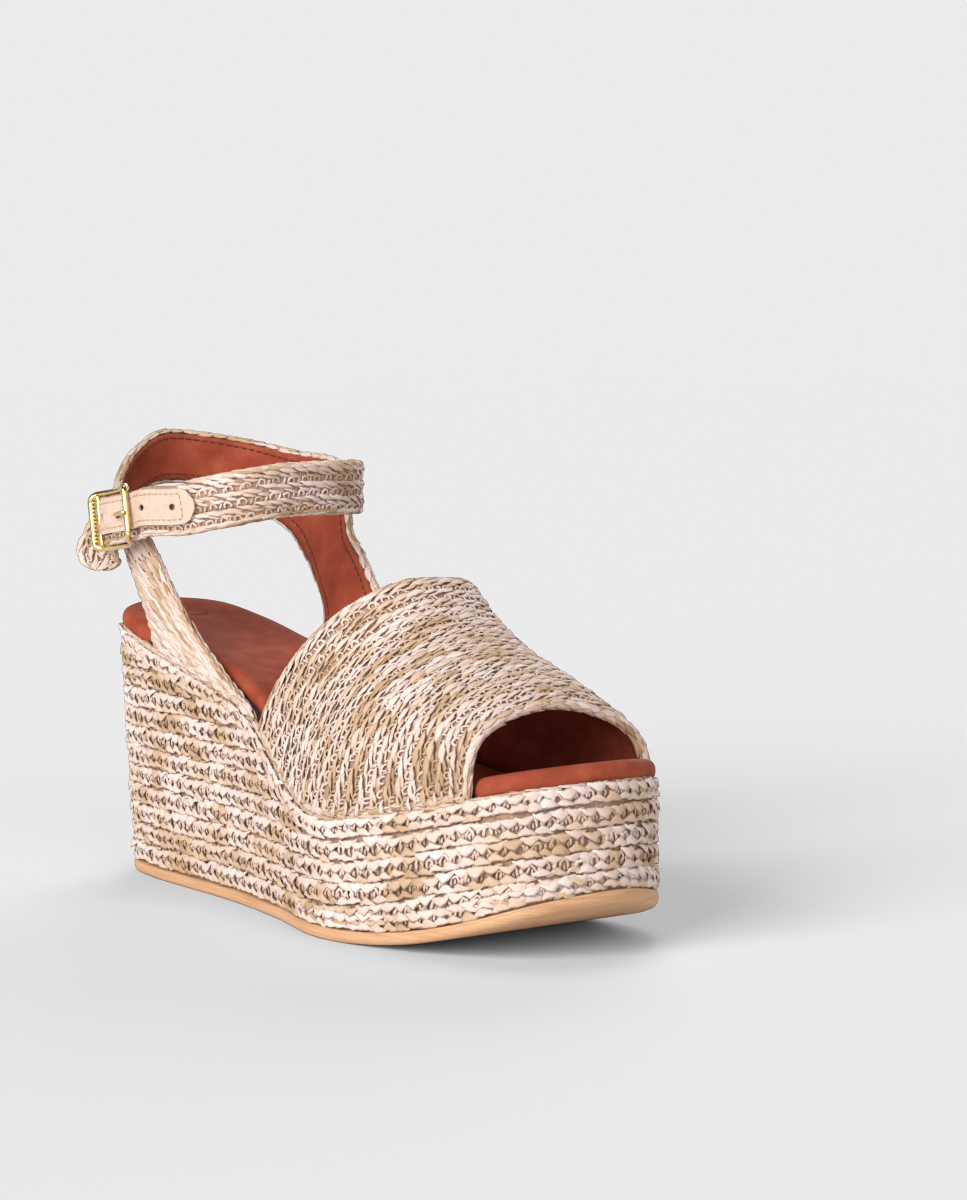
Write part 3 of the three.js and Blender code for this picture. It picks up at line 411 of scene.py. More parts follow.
@dataclass(frozen=True)
class HeelStrapShape:
    """The band from the lateral edge of the sole, round the heel, to the medial edge.

    Each station holds the side, then the front/top edge and the rear/lower edge. An edge is
    (kind, place, height): kind y is a place on the straight side and turn is degrees from the
    back of the heel. A height of None stands on the sole.
    """

    stations: tuple = (
        (-1, ("y", 15, None), ("y", 82, None)),
        (-1, ("y", 42, 74.5), ("y", 85.5, 87)),
        (-1, ("y", 58, 87), ("y", 90, 96)),
        (-1, ("y", 66.8, 99.4), ("y", 93, 104)),
        (-1, ("y", 72.8, 112), ("turn", 60, 111)),
        (-1, ("turn", 81, 120), ("turn", 50, 115.5)),
        (-1, ("turn", 62, 125.5), ("turn", 40, 119.5)),
        (-1, ("turn", 42, 131), ("turn", 28, 124.5)),
        (-1, ("turn", 20, 140), ("turn", 14, 128.5)),
        (1, ("turn", 0, 146), ("turn", 0, 130.8)),
        (1, ("turn", 26, 145), ("turn", 22, 130)),
        (1, ("turn", 50, 142.3), ("turn", 42, 126)),
        (1, ("turn", 74, 139.2), ("turn", 60, 119.3)),
        (1, ("y", 66, 137.6), ("turn", 76, 113.4)),
        (1, ("y", 58.4, 134), ("turn", 88, 106.4)),
        (1, ("y", 58.2, 123), ("y", 68, 100.5)),
        (1, ("y", 54.5, 113.5), ("y", 62.5, 95)),
        (1, ("y", 46, 106.5), ("y", 58, 89)),
        (1, ("y", 35, 95.5), ("y", 56, 83)),
        (1, ("y", 20, 79), ("y", 55.3, 77)),
        (1, ("y", 8.5, None), ("y", 55, None)),
    )
    foot_blend: float = 3.0
    heel_centre_y: float = 92.0

    def _edge(self, which: int) -> np.ndarray:
        """Way round and height of one edge, as a dense curve read by station number.

        Args:
            which: 1 for the front and top edge, 2 for the rear and lower one.

        Returns:
            Way round and height, (places, 2).
        """
        rows = []
        for station in self.stations:
            side, (kind, place, height) = station[0], station[which]
            if kind == "turn":
                way = side * place / 90 * LOOP.quarter
            elif place < LOOP.centre_y:
                way = side * (LOOP.quarter + LOOP.centre_y - place)
            else:
                turn = math.acos((place - LOOP.centre_y) / LOOP.half_y)
                way = side * turn / (math.pi / 2) * LOOP.quarter
            rows.append((way, float(seam(place)) if height is None else height))
        return catmull_rom(np.array(rows), 24, False)

    def loop_y(self, u: np.ndarray) -> np.ndarray:
        """Y of a way round from the back of the heel.

        Args:
            u: Ways round, below 0 on the lateral side.

        Returns:
            Y at each.
        """
        way = np.abs(u)
        turn = np.minimum(way / LOOP.quarter, 1) * math.pi / 2
        return np.where(way < LOOP.quarter, LOOP.centre_y + LOOP.half_y * np.cos(turn),
                        LOOP.centre_y - (way - LOOP.quarter))

    def place(self, s: np.ndarray, w: np.ndarray) -> tuple[np.ndarray, np.ndarray]:
        """Way round and height at s along the strap and w across it, both from 0 to 1.

        Args:
            s: Shares of the way along.
            w: Shares of the way across.

        Returns:
            Way round and height.
        """
        top, low = self._edge(1), self._edge(2)
        at = np.linspace(0, 1, len(top))
        tu, tz = (np.interp(s, at, top[:, k]) for k in (0, 1))
        lu, lz = (np.interp(s, at, low[:, k]) for k in (0, 1))
        u = tu + (lu - tu) * w
        span = (len(self.stations) - 1) * np.minimum(s, 1 - s)
        share = 1 - smoothstep(span, 0, self.foot_blend)
        straight = (seam(self.loop_y(tu)) * (1 - w) + seam(self.loop_y(lu)) * w)
        return u, tz + (lz - tz) * w + share * (seam(self.loop_y(u)) - straight)

    def at_depth(self, depth: float) -> Surface:
        """The face that lies this far out from the lining's inner face.

        Args:
            depth: Distance outwards.

        Returns:
            A surface of s and w.
        """
        def face(s: np.ndarray, w: np.ndarray) -> tuple[np.ndarray, np.ndarray]:
            """Points and outward normals."""
            s, w = np.broadcast_arrays(np.asarray(s, float), np.asarray(w, float))
            u, z = self.place(s, w)
            way, side = np.abs(u), np.where(u < 0, -1, 1)
            turn = np.minimum(way / LOOP.quarter, 1) * math.pi / 2
            y = self.loop_y(u)
            held = np.minimum(y, self.heel_centre_y)
            foot = np.where(side < 0, SOLE.side_x(-1, held), SOLE.side_x(1, held))
            foot = (foot - side * (UPPER_INSET + UPPER_THICK)) * np.sin(turn)
            x = foot + (side * LOOP.half_x * np.sin(turn) - foot) * smoothstep_rows(
                z, SOLE.top(y), LOOP.height)
            out = unit(np.stack([side * np.sin(turn) / LOOP.half_x,
                                 np.cos(turn) / LOOP.half_y, np.zeros_like(u)], axis=-1))
            return np.stack([x, y, z], axis=-1) + out * depth, out
        return face


def smoothstep_rows(value: np.ndarray, start: np.ndarray, end: float) -> np.ndarray:
    """smoothstep with a start of its own for each value."""
    t = np.clip((value - start) / (end - start), 0, 1)
    return t * t * (3 - 2 * t)


@dataclass(frozen=True)
class BuckleShape:
    """The buckle's place and sizes. t runs rearwards, a across the strap and n outwards."""

    y: float = 78.0
    z: float = 121.0
    slope: float = -0.19
    half_length: float = 12.2
    half_height: float = 8.9
    bar_radius: float = 0.9
    end_bar_out: float = 11.0
    elastic_thick: float = 0.6
    elastic_height: float = 11.0
    plate_width: float = 3.4
    prong_radius: float = 0.7
    patch_thick: float = 0.7

    @property
    def bar_out(self) -> float:
        """How far the centre bar stands out from the loop's inner face."""
        return UPPER_THICK + GAP + self.elastic_thick + GAP + self.bar_radius

    def axes(self) -> tuple[np.ndarray, np.ndarray, np.ndarray, np.ndarray]:
        """Origin and the rearward, upward and outward directions.

        Returns:
            The origin and three units.
        """
        turn = 180 + math.degrees(math.asin((self.y - LOOP.centre_y) / LOOP.half_y))
        origin = LOOP.point(turn, 0, self.z)
        out = unit(LOOP.point(turn, 1) - LOOP.point(turn))
        along = np.array([-out[1], out[0], 0.0])
        along *= np.sign(along[1])
        along[2] = self.slope
        along = unit(along)
        up = unit(np.cross(out, along))
        up *= np.sign(up[2])
        return origin, along, up, unit(np.cross(along, up) * np.sign(np.cross(along, up) @ out))

    def place(self, t: np.ndarray, a: np.ndarray, n: np.ndarray) -> np.ndarray:
        """Places given in the buckle's own frame.

        Args:
            t: Distances rearwards.
            a: Distances up across the strap.
            n: Distances outwards.

        Returns:
            Places in the frame of the solid model.
        """
        origin, along, up, out = self.axes()
        t, a, n = np.broadcast_arrays(*(np.asarray(v, float) for v in (t, a, n)))
        return origin + t[..., None] * along + a[..., None] * up + n[..., None] * out


BUCKLE = BuckleShape()


class StrapShape:
    """The ankle strap, read by distance from its medial root and by height across it."""

    width = 14.5
    root_y = 56.0
    root_z = 130.0
    front_z = 131.2
    patch_width = 11.5
    patch_lift = 0.7

    def __init__(self) -> None:
        """Lays the middle line round the ankle and through the buckle."""
        ratio = (LOOP.centre_y - self.root_y) / LOOP.half_y
        root_turn = math.degrees(math.asin(ratio ** (LOOP.front_power / 2)))
        over_bar = BUCKLE.bar_out + BUCKLE.bar_radius + GAP + BUCKLE.elastic_thick + GAP + 0.2
        under_end = (BUCKLE.end_bar_out - BUCKLE.bar_radius - 6 * GAP - UPPER_THICK
                     - BUCKLE.patch_thick)
        between = under_end + (over_bar - under_end) * 0.72
        half = BUCKLE.half_length
        route = []
        drop = BUCKLE.z + 3.6 - self.front_z
        for turn in (root_turn, 42, 58, 74, 90, 106, 122, 138):
            front = float(smoothstep(turn, root_turn, 90))
            if turn < 90:
                z = self.root_z + (self.front_z - self.root_z) * front
            else:
                z = self.front_z + drop * float(smoothstep(turn, 90, 172))
            route.append(LOOP.point(turn, 1.2 * float(smoothstep(turn, 106, 138)), z))
        route.append(LOOP.point(155, 2.4, self.front_z + drop * 0.93))
        route += [BUCKLE.place(*p) for p in (
            (-17, 0.25, under_end - 0.4), (-half, 0, under_end), (-5.5, 0, between),
            (0, 0, over_bar), (5.5, 0, between), (half, -0.6, under_end),
            (17, -3.4, under_end - 0.2), (20.5, -8, under_end + 0.6),
            (22.5, -14, under_end + 1.4))]
        self.track = Track(catmull_rom(np.array(route), 40, False))
        self.bar_distance = self.nearest(BUCKLE.place(0, 0, over_bar))
        self.patch_start = self.nearest(LOOP.point(146, 2, BUCKLE.z + 5))

    def nearest(self, point: np.ndarray) -> float:
        """Distance along the strap to the place nearest a point."""
        gaps = np.linalg.norm(self.track.points - point, axis=1)
        return float(self.track.at[gaps.argmin()])

    def frame(self, distance: np.ndarray) -> tuple[np.ndarray, np.ndarray, np.ndarray]:
        """Middle line, direction across and direction outwards at distances from the root.

        Args:
            distance: Distances along the strap.

        Returns:
            Three arrays of vectors.
        """
        d = np.clip(distance, 0.5, self.track.length - 0.5)
        centre, along = self.track.place(distance), self.track.direction(d)
        beside = unit(along * np.array([1, 1, 0.0]))
        level = np.stack([-beside[..., 1], beside[..., 0], np.zeros_like(d)], axis=-1)
        away = centre * np.array([1, 1, 0.0]) - np.array([0, LOOP.centre_y, 0])
        level *= np.where((level * away).sum(-1, keepdims=True) < 0, -1, 1)
        across = unit(np.cross(along, level))
        across *= np.where(across[..., 2:] < 0, -1, 1)
        out = unit(np.cross(across, along))
        out *= np.where((out * level).sum(-1, keepdims=True) < 0, -1, 1)
        return centre, across, out

    def at_depth(self, depth: float, width: float = 14.5, lift: float = 0.0, start: float = 0.0,
                 end: float | None = None, round_start: float = 0.0,
                 round_end: float = 6.0) -> Surface:
        """A face of the strap: s runs from start to end, w from the lower edge to the upper.

        Args:
            depth: Distance out from the lining's inner face.
            width: Width of the face.
            lift: How far its middle lies above the strap's.
            start: Distance where s is 0.
            end: Distance where s is 1, or nothing for the tip of the strap.
            round_start: Length of the rounding at the start.
            round_end: Length of the rounding at the end.

        Returns:
            A surface of s and w.
        """
        finish = self.track.length if end is None else end

        def face(s: np.ndarray, w: np.ndarray) -> tuple[np.ndarray, np.ndarray]:
            """Points and outward normals."""
            s, w = np.broadcast_arrays(np.asarray(s, float), np.asarray(w, float))
            distance = start + (finish - start) * s
            centre, across, out = self.frame(distance)
            half = np.full_like(distance, width / 2)
            for left, bend in ((distance - start, round_start), (finish - distance, round_end)):
                if bend:
                    near = np.clip(left / bend, 0, 1)
                    half = half * np.sqrt(np.maximum(1 - (1 - near) ** 2, 0.03))
            side = lift + half * (2 * w - 1)
            return centre + across * side[..., None] + out * depth, out
        return face


# ---- meshes


class Finish(Enum):
    """Materials that pieces are given by name."""

    RAFFIA = "knitted_paper_raffia"
    GROUND = "raffia_ground_in_shade"
    SUEDE = "rust_suede_finish_leather"
    THREAD = "rust_polyester_thread"
    PALE_THREAD = "beige_polyester_thread"
    RUBBER = "tan_moulded_rubber"
    PATCH = "beige_smooth_leather"
    ELASTIC = "ribbed_woven_elastic"
    GOLD = "polished_gold_plate"
    CORK = "pressed_cork"
    CANVAS = "woven_cotton"
    BOARD = "pressed_fibre_board"
    STEEL = "zinc_plated_steel"
    FLOOR = "studio_floor"


EDGE_SOFTENING = 0.25  # share of a layer's half thickness that its rim is drawn in by
DOME_STEPS = np.array([0.0, 0.45, 0.78])  # rings of a rod's rounded end


class Workshop:
    """Makes meshes in the frame of the solid model and puts them on its bodies."""

    def __init__(self, materials: dict[Finish, bpy.types.Material], shift: np.ndarray) -> None:
        """Keeps the materials and the way from the solid model's frame to the scene's."""
        self.materials = materials
        self.shift = shift
        self.made: list[bpy.types.Object] = []

    def mesh(self, name: str, points: np.ndarray, quads: np.ndarray, finish: Finish, body: str,
             attributes: dict[str, np.ndarray] | None = None) -> bpy.types.Object:
        """Makes a smooth mesh piece that rides on a body, or, for the ankle strap's layers, gets no
        parent and keeps its place baked in.

        Args:
            name: Name of the object and its mesh.
            points: Vertices in millimetres.
            quads: Four vertex numbers a face.
            finish: Material of the piece.
            body: Body that the piece moves with.
            attributes: Numbers or vectors for each vertex, by name.

        Returns:
            The new object.
        """
        data = bpy.data.meshes.new(name)
        world = ((points + self.shift) * MM).astype(np.float32)
        data.vertices.add(len(world))
        data.vertices.foreach_set("co", world.ravel())
        data.loops.add(quads.size)
        data.loops.foreach_set("vertex_index", quads.astype(np.int32).ravel())
        data.polygons.add(len(quads))
        data.polygons.foreach_set("loop_start", np.arange(0, quads.size, 4, dtype=np.int32))
        data.polygons.foreach_set("use_smooth", np.ones(len(quads), dtype=bool))
        data.update(calc_edges=True)
        for key, values in (attributes or {}).items():
            kind = "FLOAT_VECTOR" if values.ndim == 2 else "FLOAT"
            slot = data.attributes.new(key, kind, "POINT")
            slot.data.foreach_set("vector" if values.ndim == 2 else "value",
                                  values.astype(np.float32).ravel())
        data.validate()
        data.materials.append(self.materials[finish])
        piece = bpy.data.objects.new(name, data)
        bpy.context.scene.collection.objects.link(piece)
        if body == BENDING:
            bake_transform(piece)
        else:
            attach(piece, body)
        self.made.append(piece)
        return piece

    def plate(self, name: str, face: Callable[[float], Surface], depths: tuple[float, float],
              steps: tuple[int, int], finish: Finish, body: str) -> bpy.types.Object:
        """A thin layer with softened edges between two depths of a family of faces.

        Args:
            name: Name of the piece.
            face: Gives the surface at a depth.
            depths: Inner and outer depth.
            steps: Cells along s and along w.
            finish: Material of the piece.
            body: Body that the piece moves with.

        Returns:
            The new piece.
        """
        s = np.linspace(0, 1, steps[0] + 1)
        w = np.linspace(0, 1, steps[1] + 1)
        grid_s, grid_w = np.meshgrid(s, w, indexing="ij")
        middle = (depths[0] + depths[1]) / 2
        skins = []
        for depth in depths:
            point, _ = face(depth)(grid_s, grid_w)
            rim = np.zeros(grid_s.shape)
            rim[[0, -1], :] = 1
            rim[:, [0, -1]] = 1
            centre, _ = face(middle)(grid_s, grid_w)
            skins.append(point + (centre - point) * rim[..., None] * EDGE_SOFTENING)
        return self.closed(name, skins[0], skins[1], finish, body)

    def closed(self, name: str, inner: np.ndarray, outer: np.ndarray, finish: Finish,
               body: str) -> bpy.types.Object:
        """Joins two matching grids into one closed mesh.

        Args:
            name: Name of the piece.
            inner: Points of one skin, (rows, columns, 3).
            outer: Points of the other, the same shape.
            finish: Material of the piece.
            body: Body that the piece moves with.

        Returns:
            The new piece.
        """
        rows, columns = inner.shape[:2]
        index = np.arange(rows * columns).reshape(rows, columns)
        far = index + rows * columns

        def cells(a: np.ndarray, b: np.ndarray, c: np.ndarray, d: np.ndarray) -> np.ndarray:
            """Quads from four matching arrays of corners."""
            return np.stack([a, b, c, d], axis=-1).reshape(-1, 4)

        faces = [
            cells(index[:-1, :-1], index[:-1, 1:], index[1:, 1:], index[1:, :-1]),
            cells(far[:-1, :-1], far[1:, :-1], far[1:, 1:], far[:-1, 1:]),
            cells(index[:-1, 0], index[1:, 0], far[1:, 0], far[:-1, 0]),
            cells(index[:-1, -1], far[:-1, -1], far[1:, -1], index[1:, -1]),
            cells(index[0, :-1], far[0, :-1], far[0, 1:], index[0, 1:]),
            cells(index[-1, :-1], index[-1, 1:], far[-1, 1:], far[-1, :-1]),
        ]
        points = np.concatenate([inner.reshape(-1, 3), outer.reshape(-1, 3)])
        return self.mesh(name, points, np.concatenate(faces), finish, body)

    def loft(self, name: str, rings: np.ndarray, finish: Finish, body: str,
             capped: bool = True) -> bpy.types.Object:
        """Joins rings of equal length and closes both ends across their width.

        Args:
            name: Name of the piece.
            rings: Points, (rings, places, 3).
            finish: Material of the piece.
            body: Body that the piece moves with.
            capped: Whether the ends are closed.

        Returns:
            The new piece.
        """
        count = rings.shape[1]
        index = np.arange(rings.shape[0] * count).reshape(rings.shape[0], count)
        ahead = np.roll(index, -1, axis=1)
        walls = np.stack([index[:-1], ahead[:-1], ahead[1:], index[1:]], axis=-1).reshape(-1, 4)
        faces = [walls]
        if capped:
            for row in (index[0], index[-1]):
                half = count // 2
                near, far = row[:half], row[::-1][:half]
                cap = np.stack([near[:-1], near[1:], far[1:], far[:-1]], axis=-1)
                faces.append(cap[:, ::-1] if row[0] == index[0][0] else cap)
        return self.mesh(name, rings.reshape(-1, 3), np.concatenate(faces), finish, body)

    def tube(self, name: str, routes: list[tuple[np.ndarray, float]], finish: Finish,
             body: str, sides: int = 14) -> bpy.types.Object:
        """Round rods along routes of points, each with its own radius, as one piece.

        Args:
            name: Name of the piece.
            routes: Points and radius of each rod.
            finish: Material of the piece.
            body: Body that the piece moves with.
            sides: Flats round each rod.

        Returns:
            The new piece.
        """
        points, faces, start = [], [], 0
        turn = np.linspace(0, 2 * math.pi, sides, endpoint=False)
        for route, radius in routes:
            ahead = unit(np.gradient(route, axis=0))
            seed = np.array([0.0, 0.0, 1.0]) if abs(ahead[0][2]) < 0.8 else np.array([1.0, 0, 0])
            side = unit(np.cross(ahead, seed))
            up = np.cross(side, ahead)
            reach = np.sqrt(1 - (1 - DOME_STEPS) ** 2 * 0.999)
            front = [route[0] - ahead[0] * radius * r for r in reach]
            back = [route[-1] + ahead[-1] * radius * r for r in reach][::-1]
            scale = np.sqrt(1 - reach ** 2)
            centre = np.vstack([front, route, back])
            size = np.concatenate([scale, np.ones(len(route)), scale[::-1]]) * radius
            n = len(scale)
            side = np.vstack([np.repeat(side[:1], n, 0), side, np.repeat(side[-1:], n, 0)])
            up = np.vstack([np.repeat(up[:1], n, 0), up, np.repeat(up[-1:], n, 0)])
            ring = (centre[:, None] + size[:, None, None] * (
                np.cos(turn)[None, :, None] * side[:, None]
                + np.sin(turn)[None, :, None] * up[:, None]))
            index = start + np.arange(len(centre) * sides).reshape(len(centre), sides)
            turned = np.roll(index, -1, axis=1)
            faces.append(np.stack([index[:-1], turned[:-1], turned[1:], index[1:]],
                                  axis=-1).reshape(-1, 4))
            points.append(ring.reshape(-1, 3))
            start += ring.size // 3
        return self.mesh(name, np.concatenate(points), np.concatenate(faces), finish, body)


# ---- knitting


@dataclass(frozen=True)
class Strand:
    """One length of flat yarn in a stitch.

    Each place is (along, across, height, width): along and across as shares of the stitch,
    height above the ground and width in millimetres.
    """

    places: tuple[tuple[float, float, float, float], ...]
    thick: float = 0.55
    shade: float = 0.0


# Stitch of the sole's cover: a leaf that points down from the row's upper edge, one that points up
# from its lower edge, a rib that joins their tips, and a small arch in the hole beside them.
COVER_STITCH = (
    Strand(((-0.22, 0.94, 0.4, 0.5), (0.02, 0.88, 0.85, 1.3), (0.26, 0.81, 1.2, 2.2),
            (0.5, 0.73, 1.4, 3.3), (0.74, 0.8, 1.45, 2.2), (0.98, 0.88, 1.2, 1.2),
            (1.2, 0.94, 0.8, 0.5)), 0.55, 0.1),
    Strand(((-0.18, 0.06, 0.7, 0.5), (0.06, 0.11, 1.05, 1.3), (0.3, 0.17, 1.22, 2.1),
            (0.55, 0.25, 1.2, 3.0), (0.78, 0.17, 1.05, 2.0), (1.0, 0.11, 0.75, 1.2),
            (1.2, 0.06, 0.4, 0.5)), 0.55, -0.06),
    Strand(((0.78, 0.24, 0.3, 0.8), (0.75, 0.44, 0.65, 0.95), (0.85, 0.64, 0.78, 1.05),
            (1.04, 0.73, 0.82, 1.1), (1.21, 0.63, 0.78, 1.05), (1.29, 0.42, 0.6, 0.95),
            (1.26, 0.24, 0.3, 0.8)), 0.5, -0.04),
    Strand(((0.5, 0.66, 0.7, 0.9), (0.53, 0.5, 0.95, 1.15), (0.54, 0.34, 0.8, 1.0)), 0.5, -0.05),
    Strand(((1.0, 0.24, 0.3, 0.6), (1.04, 0.4, 0.6, 0.9), (1.0, 0.56, 0.4, 0.6)), 0.4, -0.1),
)

# Stitch of the upper: two slender leaves side by side, an arch and a slanting rib in the hole
# between this row and the next.
UPPER_STITCH = (
    Strand(((-0.28, 0.66, 0.35, 0.4), (-0.08, 0.71, 0.8, 1.3), (0.14, 0.76, 1.1, 2.1),
            (0.36, 0.79, 1.3, 2.6), (0.6, 0.83, 1.4, 2.5), (0.84, 0.88, 1.25, 1.7),
            (1.06, 0.94, 0.9, 0.9), (1.22, 0.98, 0.5, 0.4)), 0.55, 0.08),
    Strand(((0.28, 0.34, 0.3, 0.4), (0.44, 0.38, 0.7, 0.9), (0.62, 0.43, 1.0, 1.5),
            (0.82, 0.47, 1.15, 1.8), (1.02, 0.52, 1.15, 1.6), (1.22, 0.59, 0.95, 1.0),
            (1.36, 0.66, 0.5, 0.4)), 0.5, -0.06),
    Strand(((0.04, 0.0, 0.4, 0.8), (-0.02, 0.16, 0.8, 0.95), (0.05, 0.32, 1.0, 1.05),
            (0.22, 0.4, 1.05, 1.1), (0.39, 0.3, 0.95, 1.0), (0.43, 0.13, 0.75, 0.95),
            (0.36, -0.02, 0.4, 0.7)), 0.45, 0.0),
    Strand(((0.5, 0.4, 0.6, 0.7), (0.62, 0.22, 0.75, 1.1), (0.7, 0.04, 0.7, 0.9),
            (0.74, -0.1, 0.5, 0.5)), 0.45, -0.02),
)


EDGE_TONE = 0.55  # lightness of the leaves along an edge


@dataclass
class Yarn:
    """Ribbons of yarn gathered into one mesh, with the numbers that their material reads."""

    seed: int
    points: list[np.ndarray] = field(default_factory=list)
    faces: list[np.ndarray] = field(default_factory=list)
    strands: list[np.ndarray] = field(default_factory=list)
    tones: list[np.ndarray] = field(default_factory=list)
    count: int = 0

    def __post_init__(self) -> None:
        """Starts the seeded variation."""
        self.random = np.random.default_rng(self.seed)

    def ribbon(self, centre: np.ndarray, normal: np.ndarray, width: np.ndarray, thick: float,
               tone: np.ndarray, twist: np.ndarray | float = 0.0) -> None:
        """Adds flat ribbons.

        Args:
            centre: Middle lines, (ribbons, places, 3), in millimetres.
            normal: Directions that the flat side faces, the same shape.
            width: Width at each place, (ribbons, places).
            thick: Thickness in the middle of the ribbon.
            tone: Lightness of each ribbon from 0, khaki, to 1, cream.
            twist: Turn about the middle line at each place, in radians.
        """
        ahead = unit(np.gradient(centre, axis=1))
        side = unit(np.cross(normal, ahead))
        face = np.cross(ahead, side)
        angle = np.broadcast_to(np.asarray(twist, float), width.shape)[..., None]
        side, face = (side * np.cos(angle) + face * np.sin(angle),
                      face * np.cos(angle) - side * np.sin(angle))
        section = np.array([(-1, -0.1), (-0.5, 0.8), (0.45, 0.95), (1, 0.1), (0.5, -0.7),
                            (-0.5, -0.6)])
        flat = section[:, 0][None, None, :, None] * width[..., None, None] / 2
        high = section[:, 1][None, None, :, None] * np.minimum(
            thick, 0.9 * width)[..., None, None] / 2
        ring = centre[:, :, None] + flat * side[:, :, None] + high * face[:, :, None]
        ribbons, places, sides = ring.shape[:3]
        index = self.count + np.arange(ribbons * places * sides).reshape(ribbons, places, sides)
        turned = np.roll(index, -1, axis=2)
        self.faces.append(np.stack([index[:, :-1], turned[:, :-1], turned[:, 1:], index[:, 1:]],
                                   axis=-1).reshape(-1, 4))
        for row, turn in ((index[:, 0], -1), (index[:, -1], 1)):
            for corners in ((0, 1, 2, 3), (0, 3, 4, 5)):
                self.faces.append(row[:, corners[::turn]])
        steps = np.linalg.norm(np.diff(centre, axis=1), axis=2)
        run = np.concatenate([np.zeros((ribbons, 1)), np.cumsum(steps, axis=1)], axis=1)
        chance = self.random.random(ribbons)
        across = section[:, 0][None, None] * width[..., None] / 2
        self.strands.append(np.stack([
            np.broadcast_to(run[..., None], ring.shape[:3]),
            np.broadcast_to(across, ring.shape[:3]),
            np.broadcast_to(chance[:, None, None] * 97, ring.shape[:3])], axis=-1).reshape(-1, 3))
        self.tones.append(np.broadcast_to(tone[:, None, None], ring.shape[:3]).reshape(-1))
        self.points.append(ring.reshape(-1, 3))
        self.count += ring[..., 0].size

    def stitches(self, surface: Surface, u: np.ndarray, v: float, pitch: float,
                 height: float, pattern: tuple[Strand, ...], tone: np.ndarray,
                 scale: float = 1.0) -> None:
        """Adds a row of stitches of one pattern on a surface.

        Args:
            surface: Gives points and normals for arrays of u and v.
            u: Start of each stitch along its row.
            v: Foot of the row.
            pitch: Length of a stitch, in the units of u.
            height: Height of a stitch, in the units of v.
            pattern: Strands of one stitch.
            tone: Lightness of each stitch.
            scale: Size of widths and heights against the pattern's.
        """
        amount = len(u)
        for strand in pattern:
            places = np.array(strand.places)
            jitter = self.random.normal(0, 1, (amount, 4))
            wobble = self.random.normal(0, 0.03, (amount, len(places)))
            along = places[:, 0][None] + 0.08 * jitter[:, :1] + wobble
            across = places[:, 1][None] + 0.045 * jitter[:, 1:2] + wobble[:, ::-1]
            point, normal = surface(u[:, None] + pitch * along, v + height * across)
            lift = places[:, 2][None] * (1 + 0.16 * jitter[:, 2:3]) * scale
            width = places[:, 3][None] * (1 + 0.14 * jitter[:, 3:4]) * scale
            twist = 0.13 * jitter[:, :1] + 0.15 * np.sin(
                np.linspace(0, 3, len(places)))[None] * jitter[:, 2:3]
            shade = tone + strand.shade + 0.08 * jitter[:, 1]
            self.ribbon(point + normal * lift[..., None], normal, np.abs(width) + 0.05,
                        strand.thick * scale, shade, twist)

    def chain(self, centre: np.ndarray, out: np.ndarray, edge: np.ndarray, radius: float,
              angles: tuple[float, ...], pitch: float, width: float) -> None:
        """Adds shingled leaves along an edge, side by side round it.

        Args:
            centre: Points along the edge, (places, 3).
            out: Direction out of the outer face at each point.
            edge: Direction past the edge at each point.
            radius: Radius of the rolled edge.
            angles: Where each line of leaves lies, in radians from the outer face.
            pitch: Distance from one leaf to the next.
            width: Width of the leaves.
        """
        track = Track(centre)
        count = max(int(track.length / pitch), 1)
        share = np.linspace(-0.16, 1.16, 8)[None]
        shape = np.array([0.25, 0.6, 0.9, 1.05, 1.05, 0.85, 0.55, 0.25])[None]
        for angle in angles:
            chance = self.random.normal(size=(count, 4))
            start = (np.arange(count)[:, None] + self.random.random() + 0.08 * chance[:, :1])
            distance = np.clip((start - 0.5 + share) * pitch, 0, track.length)
            turn = angle + 0.1 * chance[:, 1:2] + 0.3 * (share - 0.5)
            middle = track.place(distance)
            across, beyond = (unit(np.stack([np.interp(distance, track.at, v[:, k])
                                             for k in range(3)], -1)) for v in (out, edge))
            away = np.cos(turn)[..., None] * across + np.sin(turn)[..., None] * beyond
            lift = radius + 0.35 * (share - 0.5) + 0.1 * chance[:, 2:3]
            self.ribbon(middle + away * lift[..., None], away,
                        np.abs(width * shape * (1 + 0.12 * chance[:, 3:])) + 0.05, 0.5,
                        EDGE_TONE + self.drift(count, 2, 0.2) + 0.08 * chance[:, 0])

    def drift(self, amount: int, reach: int, spread: float) -> np.ndarray:
        """A tone that wanders slowly from one stitch to the next.

        Args:
            amount: Number of stitches.
            reach: Stitches on each side that share a tone.
            spread: How far the tone wanders.

        Returns:
            An offset for each stitch.
        """
        noise = self.random.normal(size=amount + 2 * reach)
        kernel = np.hanning(2 * reach + 1)
        kernel /= np.sqrt((kernel**2).sum())
        return spread * np.convolve(noise, kernel, mode="valid")[:amount]

    def piece(self, shop: Workshop, name: str, body: str,
              finish: Finish = Finish.RAFFIA) -> bpy.types.Object:
        """Makes the gathered ribbons into one piece.

        Args:
            shop: Maker of the mesh.
            name: Name of the piece.
            body: Body that the piece moves with.
            finish: Material of the piece.

        Returns:
            The new piece.
        """
        return shop.mesh(name, np.concatenate(self.points), np.concatenate(self.faces), finish,
                         body, {"strand": np.concatenate(self.strands),
                                "tone": np.concatenate(self.tones)})


